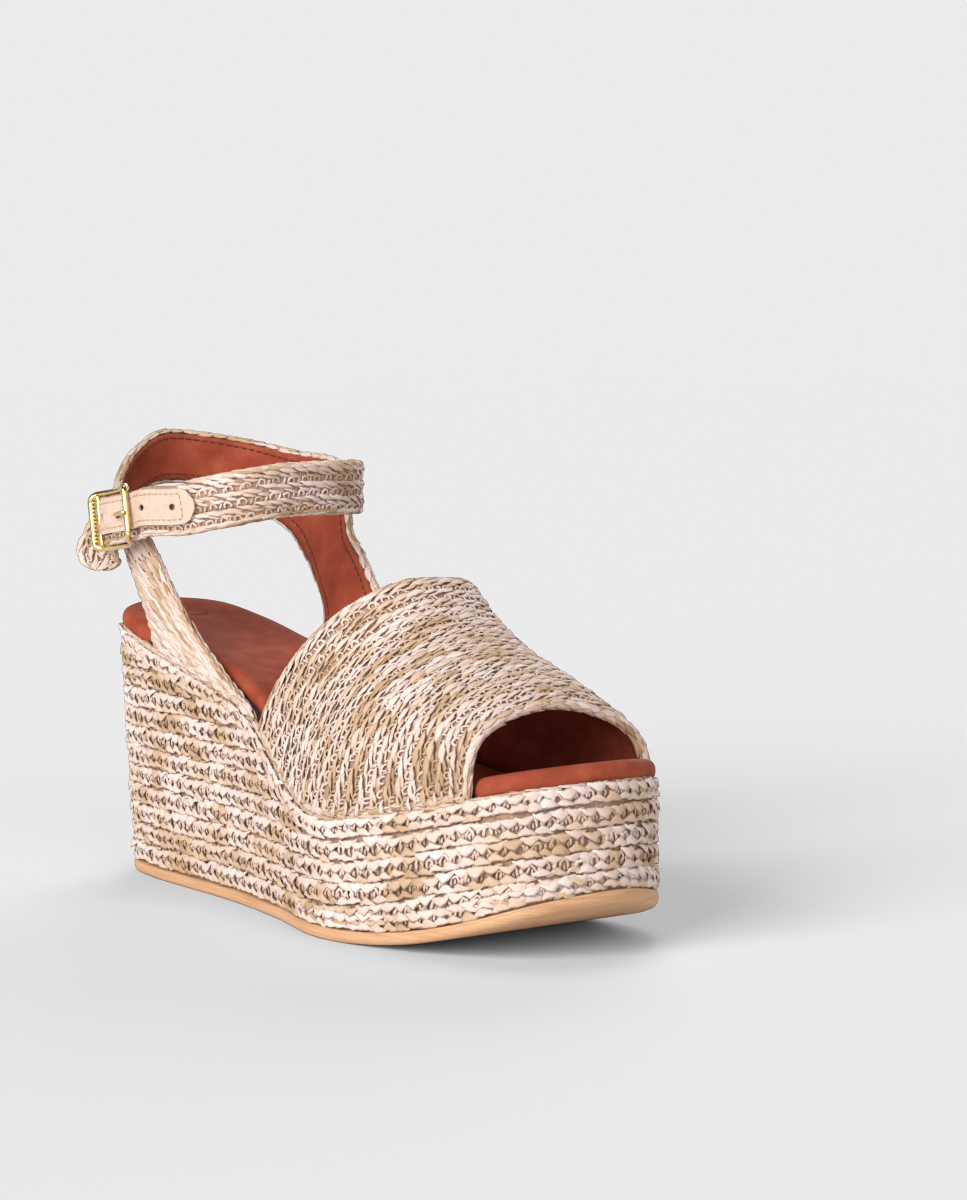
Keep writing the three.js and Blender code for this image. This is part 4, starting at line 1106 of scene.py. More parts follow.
def thread(shop: Workshop, name: str, surface: Surface, s: np.ndarray, w: np.ndarray, body: str,
           finish: Finish, pitch: float, size: float) -> bpy.types.Object:
    """A row of lockstitches along a line of a surface.

    Args:
        shop: Maker of the mesh.
        name: Name of the piece.
        surface: Gives points and normals.
        s: First places of the line.
        w: Second places of the line.
        body: Body that the piece moves with.
        finish: Material of the thread.
        pitch: Distance from one stitch to the next.
        size: Thickness of the thread, drawn somewhat thicker than real so that it shows.

    Returns:
        The new piece.
    """
    point, normal = surface(s, w)
    track = Track(point)
    count = int(track.length / pitch)
    start = (np.arange(count)[:, None] + 0.5) * pitch
    share = np.array([-0.36, -0.22, 0.0, 0.22, 0.36])[None]
    distance = start + share * pitch
    middle = track.place(distance)
    out = unit(np.stack([np.interp(distance, track.at, normal[:, k]) for k in range(3)], -1))
    lift = np.array([-0.12, 0.1, 0.18, 0.1, -0.12])[None, :, None]
    yarn = Yarn(7)
    yarn.ribbon(middle + out * lift, out, np.full(middle.shape[:2], size), size * 0.8,
                np.full(count, 0.5))
    return yarn.piece(shop, name, body, finish)


# ---- materials


Socket = bpy.types.NodeSocket
Stops = tuple[tuple[float, str], ...]
Adder = Callable[..., Socket]


def linear(colour: str) -> tuple[float, float, float, float]:
    """Turns an sRGB colour into linear light.

    Args:
        colour: A hex value such as #c2966f.

    Returns:
        Red, green, blue and an alpha of 1.
    """
    parts = [int(colour[i:i + 2], 16) / 255 for i in (1, 3, 5)]
    red, green, blue = (c / 12.92 if c <= 0.04045 else ((c + 0.055) / 1.055) ** 2.4
                        for c in parts)
    return red, green, blue, 1.0


def per_mm(cell: float) -> float:
    """Texture scale, to two figures, of a pattern with cells this many millimetres wide."""
    return float(f"{1 / cell:.2g}")


def fill(tree: bpy.types.NodeTree, node: bpy.types.Node, inputs: dict) -> None:
    """Feeds the inputs of a node.

    Args:
        tree: Node tree that the node is in.
        node: Node to feed.
        inputs: For each input, the output that is linked to it or the value that it holds.
    """
    for key, value in inputs.items():
        if isinstance(value, Socket):
            tree.links.new(value, node.inputs[key])
        else:
            node.inputs[key].default_value = value


def add_node(tree: bpy.types.NodeTree, kind: str, inputs: dict | None = None,
             output: str | int = 0, stops: Stops = (), **settings: object) -> Socket:
    """Adds a node with its settings and links.

    Args:
        tree: Node tree that the node goes into.
        kind: Type of the node.
        inputs: For each input, an output to link or a value to hold.
        output: The output that the caller goes on from.
        stops: Places and hex colours, for a colour ramp.
        settings: The node's own settings.

    Returns:
        The output that was asked for.
    """
    node = tree.nodes.new(kind)
    for key, value in settings.items():
        setattr(node, key, value)
    if stops:
        band = node.color_ramp
        while len(band.elements) < len(stops):
            band.elements.new(0.5)
        for element, (place, colour) in zip(band.elements, stops):
            element.position = place
            element.color = linear(colour)
    fill(tree, node, inputs or {})
    return node.outputs[output]


@dataclass(frozen=True)
class Dressing:
    """A finish that is made into a material. Each kind says what feeds its shader.

    None of them sets an IOR: paper, leather, rubber and polyester all lie near the default, and
    a metal keeps it.
    """

    finish: Finish

    def build(self) -> bpy.types.Material:
        """Makes the material."""
        material = bpy.data.materials.new(self.finish.value)
        material.use_nodes = True
        tree = material.node_tree
        fill(tree, tree.nodes["Principled BSDF"], self.inputs(partial(add_node, tree)))
        return material

    def inputs(self, add: Adder) -> dict[str, object]:
        """Inputs of the shader by name."""
        raise NotImplementedError

    @staticmethod
    def place(add: Adder, stretch: tuple[float, float, float] = (1, 1, 1)) -> Socket:
        """Places on the piece in millimetres, stretched if asked.

        Args:
            add: Adds a node to the material.
            stretch: Factor along each axis.

        Returns:
            A vector for each point.
        """
        metres = add("ShaderNodeTexCoord", output="Object")
        scale = tuple(1000 * k for k in stretch)
        return add("ShaderNodeVectorMath", {0: metres, 1: scale}, operation="MULTIPLY")


@dataclass(frozen=True)
class PaperRaffia(Dressing):
    """Twisted paper yarn, pressed flat and knitted.

    The eye sees cream and tan mixed along each yarn, and fibres that catch the light.
    """

    shades: Stops = ((0.05, "#a07e5f"), (0.28, "#bc9a79"), (0.45, "#cbac91"),
                     (0.6, "#d5bbab"), (0.8, "#dcc5ba"), (1.0, "#e2cec5"))
    fibre: float = 0.625  # millimetres, before the stretch: 0.2 across and 2.8 along the yarn
    stretch: tuple[float, float, float] = (0.22, 3.2, 1.0)
    cloud: float = 11.1
    mixing: float = 0.25

    def inputs(self, add: Adder) -> dict[str, object]:
        """Inputs of the shader by name.

        Args:
            add: Adds a node to the material.

        Returns:
            What feeds each input.
        """
        strand = add("ShaderNodeAttribute", output="Vector", attribute_name="strand")
        tone = add("ShaderNodeAttribute", output="Fac", attribute_name="tone")
        along = add("ShaderNodeVectorMath", {0: strand, 1: self.stretch}, operation="MULTIPLY")
        fibre = add("ShaderNodeTexNoise", {"Vector": along, "Scale": per_mm(self.fibre),
                                           "Detail": 3.0, "Roughness": 0.6}, "Fac")
        cloud = add("ShaderNodeTexNoise", {"Vector": self.place(add), "Detail": 2.0,
                                           "Scale": per_mm(self.cloud)}, "Fac")
        mixed = add("ShaderNodeMath", {0: cloud, 1: self.mixing, 2: tone},
                    operation="MULTIPLY_ADD")
        mixed = add("ShaderNodeMath", {0: fibre, 1: self.mixing, 2: mixed},
                    operation="MULTIPLY_ADD")
        mixed = add("ShaderNodeMath", {0: mixed, 1: self.mixing}, operation="SUBTRACT")
        colour = add("ShaderNodeValToRGB", {"Fac": mixed}, "Color", self.shades)
        light = add("ShaderNodeMapRange", {"Value": fibre, "From Min": 0.25, "From Max": 0.75,
                                           "To Min": 0.84, "To Max": 1.06}, "Result")
        return {
            "Base Color": add("ShaderNodeVectorMath", {0: colour, "Scale": light},
                              operation="SCALE"),
            "Roughness": add("ShaderNodeMapRange", {"Value": fibre, "To Min": 0.62,
                                                    "To Max": 0.42}, "Result"),
            "Specular IOR Level": 0.35,
            "Sheen Weight": 0.08,
            "Normal": add("ShaderNodeBump", {"Height": fibre, "Distance": 0.22 * MM,
                                             "Strength": 0.7}, "Normal"),
        }


@dataclass(frozen=True)
class ShadedGround(Dressing):
    """Loose raffia between the stitches: darker, because little light reaches it."""

    shades: Stops = ((0.3, "#7d5c48"), (0.5, "#a9866f"), (0.7, "#c4a28b"))
    fibre: float = 0.714
    cloud: float = 4.0
    fibre_share: float = 0.7

    def inputs(self, add: Adder) -> dict[str, object]:
        """Inputs of the shader by name.

        Args:
            add: Adds a node to the material.

        Returns:
            What feeds each input.
        """
        fine = add("ShaderNodeTexNoise", {"Vector": self.place(add, (1, 1, 0.5)), "Detail": 3.0,
                                          "Scale": per_mm(self.fibre), "Roughness": 0.65}, "Fac")
        broad = add("ShaderNodeTexNoise", {"Vector": self.place(add), "Detail": 2.0,
                                           "Scale": per_mm(self.cloud)}, "Fac")
        part = add("ShaderNodeMath", {0: broad, 1: 1 - self.fibre_share}, operation="MULTIPLY")
        mixed = add("ShaderNodeMath", {0: fine, 1: self.fibre_share, 2: part},
                    operation="MULTIPLY_ADD")
        return {
            "Base Color": add("ShaderNodeValToRGB", {"Fac": mixed}, "Color", self.shades),
            "Roughness": 0.85,
            "Normal": add("ShaderNodeBump", {"Height": fine, "Distance": 0.5 * MM}, "Normal"),
        }


@dataclass(frozen=True)
class BuffedSuede(Dressing):
    """Rust leather buffed to a short nap: matt, cloudy, with soft creases."""

    shades: Stops = ((0.25, "#823824"), (0.5, "#92432e"), (0.75, "#a2523a"))
    nap: float = 0.182  # a real nap is about 0.05 mm, which would not show
    cloud: float = 8.33
    crease: float = 2.86
    bloom: str = "#e8a58c"

    def inputs(self, add: Adder) -> dict[str, object]:
        """Inputs of the shader by name.

        Args:
            add: Adds a node to the material.

        Returns:
            What feeds each input.
        """
        place = self.place(add)
        nap = add("ShaderNodeTexNoise", {"Vector": place, "Scale": per_mm(self.nap),
                                         "Detail": 3.0, "Roughness": 0.65}, "Fac")
        cloud = add("ShaderNodeTexNoise", {"Vector": place, "Scale": per_mm(self.cloud),
                                           "Detail": 3.0, "Roughness": 0.55}, "Fac")
        crease = add("ShaderNodeTexNoise", {"Vector": self.place(add, (0.5, 0.5, 1.6)),
                                            "Scale": per_mm(self.crease)}, "Fac")
        colour = add("ShaderNodeValToRGB", {"Fac": cloud}, "Color", self.shades)
        light = add("ShaderNodeMapRange", {"Value": nap, "From Min": 0.3, "From Max": 0.7,
                                           "To Min": 0.86, "To Max": 1.12}, "Result")
        height = add("ShaderNodeMath", {0: nap, 1: 0.35, 2: crease}, operation="MULTIPLY_ADD")
        return {
            "Base Color": add("ShaderNodeVectorMath", {0: colour, "Scale": light},
                              operation="SCALE"),
            "Roughness": 0.82,
            "Specular IOR Level": 0.15,
            "Sheen Weight": 0.03,
            "Sheen Roughness": 0.4,
            "Sheen Tint": linear(self.bloom),
            "Normal": add("ShaderNodeBump", {"Height": height, "Distance": 0.25 * MM,
                                             "Strength": 0.6}, "Normal"),
        }


@dataclass(frozen=True)
class TwistedThread(Dressing):
    """Polyester sewing thread, twisted: slightly glossy, with the twist as a fine ripple."""

    colour: str = "#6a2e1f"
    twist: float = 0.625

    def inputs(self, add: Adder) -> dict[str, object]:
        """Inputs of the shader by name.

        Args:
            add: Adds a node to the material.

        Returns:
            What feeds each input.
        """
        strand = add("ShaderNodeAttribute", output="Vector", attribute_name="strand")
        twist = add("ShaderNodeTexWave", {"Vector": strand, "Scale": per_mm(self.twist)}, "Fac")
        light = add("ShaderNodeMapRange", {"Value": twist, "To Min": 0.8, "To Max": 1.1},
                    "Result")
        return {
            "Base Color": add("ShaderNodeVectorMath", {0: linear(self.colour)[:3],
                                                       "Scale": light}, operation="SCALE"),
            "Roughness": 0.5,
            "Normal": add("ShaderNodeBump", {"Height": twist, "Distance": 0.08 * MM}, "Normal"),
        }


@dataclass(frozen=True)
class MouldedRubber(Dressing):
    """Tan rubber from a mould: matt and a little streaky, with a fine eggshell grain."""

    shades: Stops = ((0.3, "#ad7f5a"), (0.5, "#c2966f"), (0.7, "#cfa783"))
    grain: float = 0.385
    streak: float = 1.0
    grain_share: float = 0.35

    def inputs(self, add: Adder) -> dict[str, object]:
        """Inputs of the shader by name.

        Args:
            add: Adds a node to the material.

        Returns:
            What feeds each input.
        """
        grain = add("ShaderNodeTexNoise", {"Vector": self.place(add), "Detail": 3.0,
                                           "Scale": per_mm(self.grain), "Roughness": 0.6}, "Fac")
        streak = add("ShaderNodeTexNoise", {"Vector": self.place(add, (0.05, 0.05, 1.4)),
                                            "Scale": per_mm(self.streak), "Detail": 3.0,
                                            "Roughness": 0.6}, "Fac")
        part = add("ShaderNodeMath", {0: streak, 1: 1 - self.grain_share}, operation="MULTIPLY")
        mixed = add("ShaderNodeMath", {0: grain, 1: self.grain_share, 2: part},
                    operation="MULTIPLY_ADD")
        return {
            "Base Color": add("ShaderNodeValToRGB", {"Fac": mixed}, "Color", self.shades),
            "Roughness": add("ShaderNodeMapRange", {"Value": grain, "To Min": 0.5,
                                                    "To Max": 0.66}, "Result"),
            "Specular IOR Level": 0.4,
            "Normal": add("ShaderNodeBump", {"Height": grain, "Distance": 0.06 * MM}, "Normal"),
        }


@dataclass(frozen=True)
class SmoothLeather(Dressing):
    """Beige leather with a smooth finished grain: faint pores and a soft sheen."""

    shades: Stops = ((0.3, "#bfa491"), (0.7, "#cbb1a0"))
    pore: float = 0.556  # real pores are about 0.1 mm, which would not show
    cloud: float = 2.0

    def inputs(self, add: Adder) -> dict[str, object]:
        """Inputs of the shader by name.

        Args:
            add: Adds a node to the material.

        Returns:
            What feeds each input.
        """
        place = self.place(add)
        pores = add("ShaderNodeTexVoronoi", {"Vector": place, "Scale": per_mm(self.pore)},
                    "Distance")
        cloud = add("ShaderNodeTexNoise", {"Vector": place, "Scale": per_mm(self.cloud),
                                           "Detail": 2.0, "Roughness": 0.5}, "Fac")
        return {
            "Base Color": add("ShaderNodeValToRGB", {"Fac": cloud}, "Color", self.shades),
            "Roughness": 0.55,
            "Specular IOR Level": 0.4,
            "Normal": add("ShaderNodeBump", {"Height": pores, "Distance": 0.05 * MM}, "Normal"),
        }


@dataclass(frozen=True)
class RibbedElastic(Dressing):
    """Woven elastic: pale lilac cords side by side."""

    shades: Stops = ((0.1, "#a89fae"), (0.6, "#ddd6df"))
    cord: float = 0.91

    def inputs(self, add: Adder) -> dict[str, object]:
        """Inputs of the shader by name.

        Args:
            add: Adds a node to the material.

        Returns:
            What feeds each input.
        """
        ribs = add("ShaderNodeTexWave", {"Vector": self.place(add), "Distortion": 0.3,
                                         "Scale": per_mm(self.cord)}, "Fac",
                   bands_direction="Z")
        return {
            "Base Color": add("ShaderNodeValToRGB", {"Fac": ribs}, "Color", self.shades),
            "Roughness": 0.7,
            "Sheen Weight": 0.2,
            "Normal": add("ShaderNodeBump", {"Height": ribs, "Distance": 0.2 * MM}, "Normal"),
        }


@dataclass(frozen=True)
class PolishedGoldPlate(Dressing):
    """Pale gold plated on zinc and polished: mirror-like, with a faint haze."""

    colour: str = "#d9bd83"
    haze: float = 0.833

    def inputs(self, add: Adder) -> dict[str, object]:
        """Inputs of the shader by name.

        Args:
            add: Adds a node to the material.

        Returns:
            What feeds each input.
        """
        haze = add("ShaderNodeTexNoise", {"Vector": self.place(add), "Detail": 3.0,
                                          "Scale": per_mm(self.haze), "Roughness": 0.5}, "Fac")
        return {
            "Base Color": linear(self.colour),
            "Metallic": 1.0,
            "Roughness": add("ShaderNodeMapRange", {"Value": haze, "To Min": 0.1,
                                                    "To Max": 0.2}, "Result"),
            "Normal": add("ShaderNodeBump", {"Height": haze, "Distance": 0.02 * MM}, "Normal"),
        }


@dataclass(frozen=True)
class Speckled(Dressing):
    """A speckle of two colours: cork, canvas, fibre board or plated steel inside the sole."""

    dark: str
    light: str
    speck: float
    rough: float
    metal: float = 0.0
    depth: float = 0.1

    def inputs(self, add: Adder) -> dict[str, object]:
        """Inputs of the shader by name.

        Args:
            add: Adds a node to the material.

        Returns:
            What feeds each input.
        """
        speck = add("ShaderNodeTexNoise", {"Vector": self.place(add), "Detail": 3.0,
                                           "Scale": per_mm(self.speck), "Roughness": 0.6}, "Fac")
        shades = ((0.35, self.dark), (0.65, self.light))
        return {
            "Base Color": add("ShaderNodeValToRGB", {"Fac": speck}, "Color", shades),
            "Roughness": self.rough,
            "Metallic": self.metal,
            "Normal": add("ShaderNodeBump", {"Height": speck, "Distance": self.depth * MM},
                          "Normal"),
        }


DRESSINGS = (
    PaperRaffia(Finish.RAFFIA),
    ShadedGround(Finish.GROUND),
    BuffedSuede(Finish.SUEDE),
    TwistedThread(Finish.THREAD),
    TwistedThread(Finish.PALE_THREAD, "#c9ab8d"),
    MouldedRubber(Finish.RUBBER),
    SmoothLeather(Finish.PATCH),
    RibbedElastic(Finish.ELASTIC),
    PolishedGoldPlate(Finish.GOLD),
    Speckled(Finish.CORK, "#8a6238", "#c39a66", 1.11, 0.9, depth=0.3),
    Speckled(Finish.CANVAS, "#c9bda4", "#e2d9c5", 0.4, 0.9),
    Speckled(Finish.BOARD, "#7c6a54", "#988469", 0.667, 0.85),
    Speckled(Finish.STEEL, "#8d9094", "#a7abb0", 0.5, 0.35, 1.0, 0.02),
    Speckled(Finish.FLOOR, "#ebebeb", "#ebebeb", 10.0, 0.9, depth=0.0),
)


# ---- the sandal's sub-assemblies

LINING_STITCH = (2.8, 0.6)  # pitch and thickness of the topstitching on the linings
PATCH_STITCH = (2.0, 0.4)
FOOT_RADIUS = 0.95
FOOT_ANGLES = (-0.9, 0.1, 0.9)
FOOT_LEAF = (5.0, 2.0)  # pitch and width of the leaves along the upper's feet


@dataclass
class WedgeSole:
    """Outsole, knitted cover and padded footbed."""

    shop: Workshop
    outsole_thick: float = 4.0
    cover_inset: float = 1.7
    row_height: float = 6.5
    stitch_pitch: float = 5.0
    ring_places: int = 240
    ground_places: int = 14
    edge_height: float = 5.4
    foot_height: float = 5.0
    split_row: int = 4
    rim: tuple[tuple[float, float], ...] = (
        (7.0, 0.0), (2.4, 0.0), (1.0, 0.25), (0.35, 0.9), (0.1, 1.8), (0.1, 2.7),
        (0.25, 2.9), (0.12, 3.1), (0.15, 3.6), (0.6, 3.95), (3.0, 4.0))
    pad_rise: tuple[tuple[float, float], ...] = (
        (2.6, 0.0), (1.0, 0.2), (0.25, 0.9), (0.0, 2.1), (0.05, 3.3), (0.4, 4.5), (1.1, 5.5),
        (2.2, 6.2), (3.8, 6.5), (6.0, 6.4), (9.0, 6.0), (13.0, 5.5), (18.0, 5.2))
    pad_inset: float = 1.1
    pad_between: tuple[float, float, float] = (-97.0, 82.0, 55.0)

    def build(self) -> None:
        """Builds every piece of the sole that shows."""
        self.wall = Wall()
        self._outsole()
        self._ground()
        self._knit()
        self._footbed()

    def _ring(self, inset: float | np.ndarray, height: Callable[[np.ndarray], np.ndarray],
              ) -> np.ndarray:
        """One ring round the sole, inset from its outline, at a height for each y.

        Args:
            inset: Distance inside the outline.
            height: Gives the height at each y.

        Returns:
            Points of the ring, (places, 3).
        """
        u = np.linspace(0, self.wall.track.length, self.ring_places, endpoint=False)
        ys = self.wall.plan_y(u)
        u = np.roll(u, -int(ys.argmin()))
        place, ahead = self.wall.track.place(u), self.wall.track.direction(u)
        normal = np.stack([-ahead[:, 1], ahead[:, 0]], axis=-1)
        flat = place - np.broadcast_to(inset, u.shape)[:, None] * normal
        return SOLE.slanted(np.column_stack([flat, height(flat[:, 1])]))

    def _outsole(self) -> None:
        """Rubber outsole with a rounded rim and a shallow groove under its upper edge."""
        rings = [self._ring(inset, lambda y, h=h: SOLE.floor(y) + h) for inset, h in self.rim]
        sole = self.shop.loft("outsole_rubber", np.array(rings), Finish.RUBBER, "sandal")
        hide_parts("outsole")

    def _ground(self) -> None:
        """The cover's ground, behind the stitches."""
        inset = self.cover_inset
        rings = [self._ring(inset + 0.9, lambda y: SOLE.floor(y) + self.outsole_thick + GAP)]
        for share in np.linspace(0, 1, self.ground_places):
            rings.append(self._ring(inset, lambda y, k=share: (
                (SOLE.floor(y) + self.outsole_thick + GAP) * (1 - k)
                + (SOLE.top(y) - 0.8) * k)))
        rings.append(self._ring(inset + 0.7, lambda y: SOLE.top(y) - 0.1))
        rings.append(self._ring(inset + 1.6, lambda y: SOLE.top(y) - 0.2))
        cover = self.shop.loft("wedge_cover_ground", np.array(rings), Finish.GROUND, "sandal",
                               capped=False)
        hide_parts("wedge_cover")

    def _knit(self) -> None:
        """Level rows of stitches round the wedge, with a row along each of its edges."""
        yarn = Yarn(11)
        length = self.wall.track.length
        count = int(round(length / self.stitch_pitch))
        pitch = length / count
        around = np.arange(count) * pitch

        def lifted(u: np.ndarray) -> np.ndarray:
            """Rise of the rows where the toe turns up."""
            y = self.wall.plan_y(u)
            return np.where(y < SOLE.ball_y, SOLE.top(y) - SOLE.top(SOLE.ball_y), 0.0)

        def level(u: np.ndarray, v: np.ndarray) -> tuple[np.ndarray, np.ndarray]:
            """The wall with v as height."""
            return self.wall.at(u, v + lifted(u), self.cover_inset)

        def along_top(u: np.ndarray, v: np.ndarray) -> tuple[np.ndarray, np.ndarray]:
            """The wall with v as height above the top edge."""
            return self.wall.at(u, v + SOLE.top(self.wall.plan_y(u)), self.cover_inset)

        def along_foot(u: np.ndarray, v: np.ndarray) -> tuple[np.ndarray, np.ndarray]:
            """The wall with v as height above the ground."""
            return self.wall.at(u, v + SOLE.floor(self.wall.plan_y(u)), self.cover_inset)

        rows = int((SOLE.top(121.0) - self.outsole_thick) / self.row_height) + 1
        for row in range(rows):
            foot = self.outsole_thick + 0.6 + row * self.row_height
            u = around + (0.5 * pitch if row % 2 else 0.0) + 0.15 * pitch * (row % 3)
            y = self.wall.plan_y(u + pitch / 2)
            centre = foot + lifted(u + pitch / 2) + self.row_height / 2
            kept = ((centre < SOLE.top(y) - 4.4)
                    & (centre > SOLE.floor(y) + self.outsole_thick + 2.4))
            tone = 0.58 + yarn.drift(count, 2, 0.17)
            yarn.stitches(level, u[kept], foot, pitch, self.row_height, COVER_STITCH,
                          tone[kept])
            if row == self.split_row:
                lower = yarn.piece(self.shop, "wedge_cover_lower_knit", "sandal")
                yarn = Yarn(12)
        upper = yarn.piece(self.shop, "wedge_cover_upper_knit", "sandal")
        yarn = Yarn(13)
        tone = 0.62 + yarn.drift(count, 2, 0.17)
        yarn.stitches(along_top, around, -self.edge_height - 0.2, pitch, self.edge_height,
                      COVER_STITCH, tone)
        toe = self.wall.plan_y(around) < SOLE.ball_y + 20
        yarn.stitches(along_foot, around[toe], self.outsole_thick + 0.5, pitch,
                      self.foot_height, COVER_STITCH, tone[toe])
        u = np.linspace(0, length, 700)
        point, out = self.wall.at(u, SOLE.top(self.wall.plan_y(u)) - 0.6, self.cover_inset + 0.9)
        up = np.broadcast_to(np.array([0, 0, 1.0]), out.shape)
        yarn.chain(point, out, up, 0.9, (0.7, 1.5), 5.4, 1.9)
        edges = yarn.piece(self.shop, "wedge_cover_edge_knit", "sandal")

    def _footbed(self) -> None:
        """Padded footbed with a rolled edge, narrower where the upper comes down beside it."""
        front, rear_lateral, rear_medial = self.pad_between
        u = np.linspace(0, self.wall.track.length, self.ring_places, endpoint=False)
        ys = self.wall.plan_y(u)
        u = np.roll(u, -int(ys.argmin()))
        y = self.wall.plan_y(u)
        ahead = self.wall.track.direction(u)
        side = np.where(-ahead[:, 1] < 0, -1, 1)
        rear = np.where(side < 0, rear_lateral, rear_medial)
        inside = smoothstep(y, front - 5, front) * (1 - smoothstep(y - rear, 5, 10))
        beside = UPPER_INSET + UPPER_THICK + GAP + 0.9
        inset = self.pad_inset + (beside - self.pad_inset) * inside
        rise = (SOLE.footbed_thick - GAP) / SOLE.footbed_thick
        rings = [self._ring(inset + more, lambda yy, h=h: SOLE.top(yy) + GAP + h * rise)
                 for more, h in self.pad_rise]
        pad = self.shop.loft("footbed_pad", np.array(rings), Finish.SUEDE, "sandal")
        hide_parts("sock_lining", "footbed_foam")


def inner_side(shape: VampShape | HeelStrapShape) -> Surface:
    """The inner face of a lining, facing the foot."""
    def face(s: np.ndarray, w: np.ndarray) -> tuple[np.ndarray, np.ndarray]:
        """Points and inward normals."""
        point, out = shape.at_depth(-0.03)(s, w)
        return point, -out
    return face


@dataclass
class Vamp:
    """Lining and knitted band over the forefoot."""

    shop: Workshop
    shape: VampShape = VampShape()
    rows: int = 21
    stitch_pitch: float = 5.0
    stitch_scale: float = 0.74
    cells: tuple[int, int] = (60, 90)
    ground_depths: tuple[float, float] = (1.8, 2.3)
    knit_depth: float = 2.2
    topstitch_inset: float = 0.03
    edge_radius: float = 1.35
    edge_angles: tuple[float, ...] = (0.1, 0.8, 1.5, 2.2, 2.9)
    leaf: tuple[float, float] = (5.0, 1.8)

    def build(self) -> None:
        """Builds the lining, the ground, the stitches and the bound edges."""
        face = self.shape.at_depth
        lining = self.shop.plate("vamp_lining_leather", face, (0.0, LINING_THICK), self.cells,
                                 Finish.SUEDE, "sandal")
        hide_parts("vamp_lining")
        base = self.shop.plate("vamp_ground", face, self.ground_depths, self.cells,
                               Finish.GROUND, "sandal")
        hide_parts("vamp_raffia")
        self._knit()
        w = np.linspace(0.02, 0.98, 200)
        for name, s in (("vamp_front_topstitch", self.topstitch_inset),
                        ("vamp_rear_topstitch", 1 - self.topstitch_inset)):
            seam_line = thread(self.shop, name, inner_side(self.shape), np.full(200, s), w,
                               "sandal", Finish.THREAD, *LINING_STITCH)

    def _knit(self) -> None:
        """Rows of stitches across the foot, each measured along its own arch."""
        yarn = Yarn(23)
        surface = self.shape.at_depth(self.knit_depth)
        ruler = np.linspace(0, 1, 160)
        for row in range(self.rows):
            arch = Track(surface(np.full(160, (row + 0.5) / self.rows), ruler)[0])

            def measured(u: np.ndarray, v: np.ndarray,
                         at: np.ndarray = arch.at) -> tuple[np.ndarray, np.ndarray]:
                """The knit's face with u as a length across the foot."""
                return surface(np.clip(v, 0, 1), np.interp(u, at, ruler))

            count = int(round(arch.length / self.stitch_pitch))
            pitch = arch.length / count
            u = (np.arange(count + 1) - (0.5 if row % 2 else 0.1)) * pitch
            u = u[u < arch.length - 0.4 * pitch]
            tone = 0.56 + yarn.drift(len(u), 2, 0.17)
            yarn.stitches(measured, u, row / self.rows, pitch, 1 / self.rows, UPPER_STITCH,
                          tone, self.stitch_scale)
            if row == self.rows // 2:
                front = yarn.piece(self.shop, "vamp_front_knit", "sandal")
                yarn = Yarn(27)
        rear = yarn.piece(self.shop, "vamp_rear_knit", "sandal")
        yarn = Yarn(29)
        w = np.linspace(0, 1, 400)
        middle = self.shape.at_depth(1.8)
        for s, inner in ((0.0, 0.02), (1.0, 0.98)):
            point, out = middle(np.full(400, s), w)
            beyond = unit(point - middle(np.full(400, inner), w)[0])
            yarn.chain(point, out, beyond, self.edge_radius, self.edge_angles, *self.leaf)
        s = np.linspace(0, 1, 200)
        down = np.broadcast_to(np.array([0, 0, -1.0]), (200, 3))
        for w in (0.0, 1.0):
            point, out = self.shape.at_depth(1.9)(s, np.full(200, w))
            yarn.chain(point - down, out, down, FOOT_RADIUS, FOOT_ANGLES, *FOOT_LEAF)
        knit = yarn.piece(self.shop, "vamp_edge_knit", "sandal")


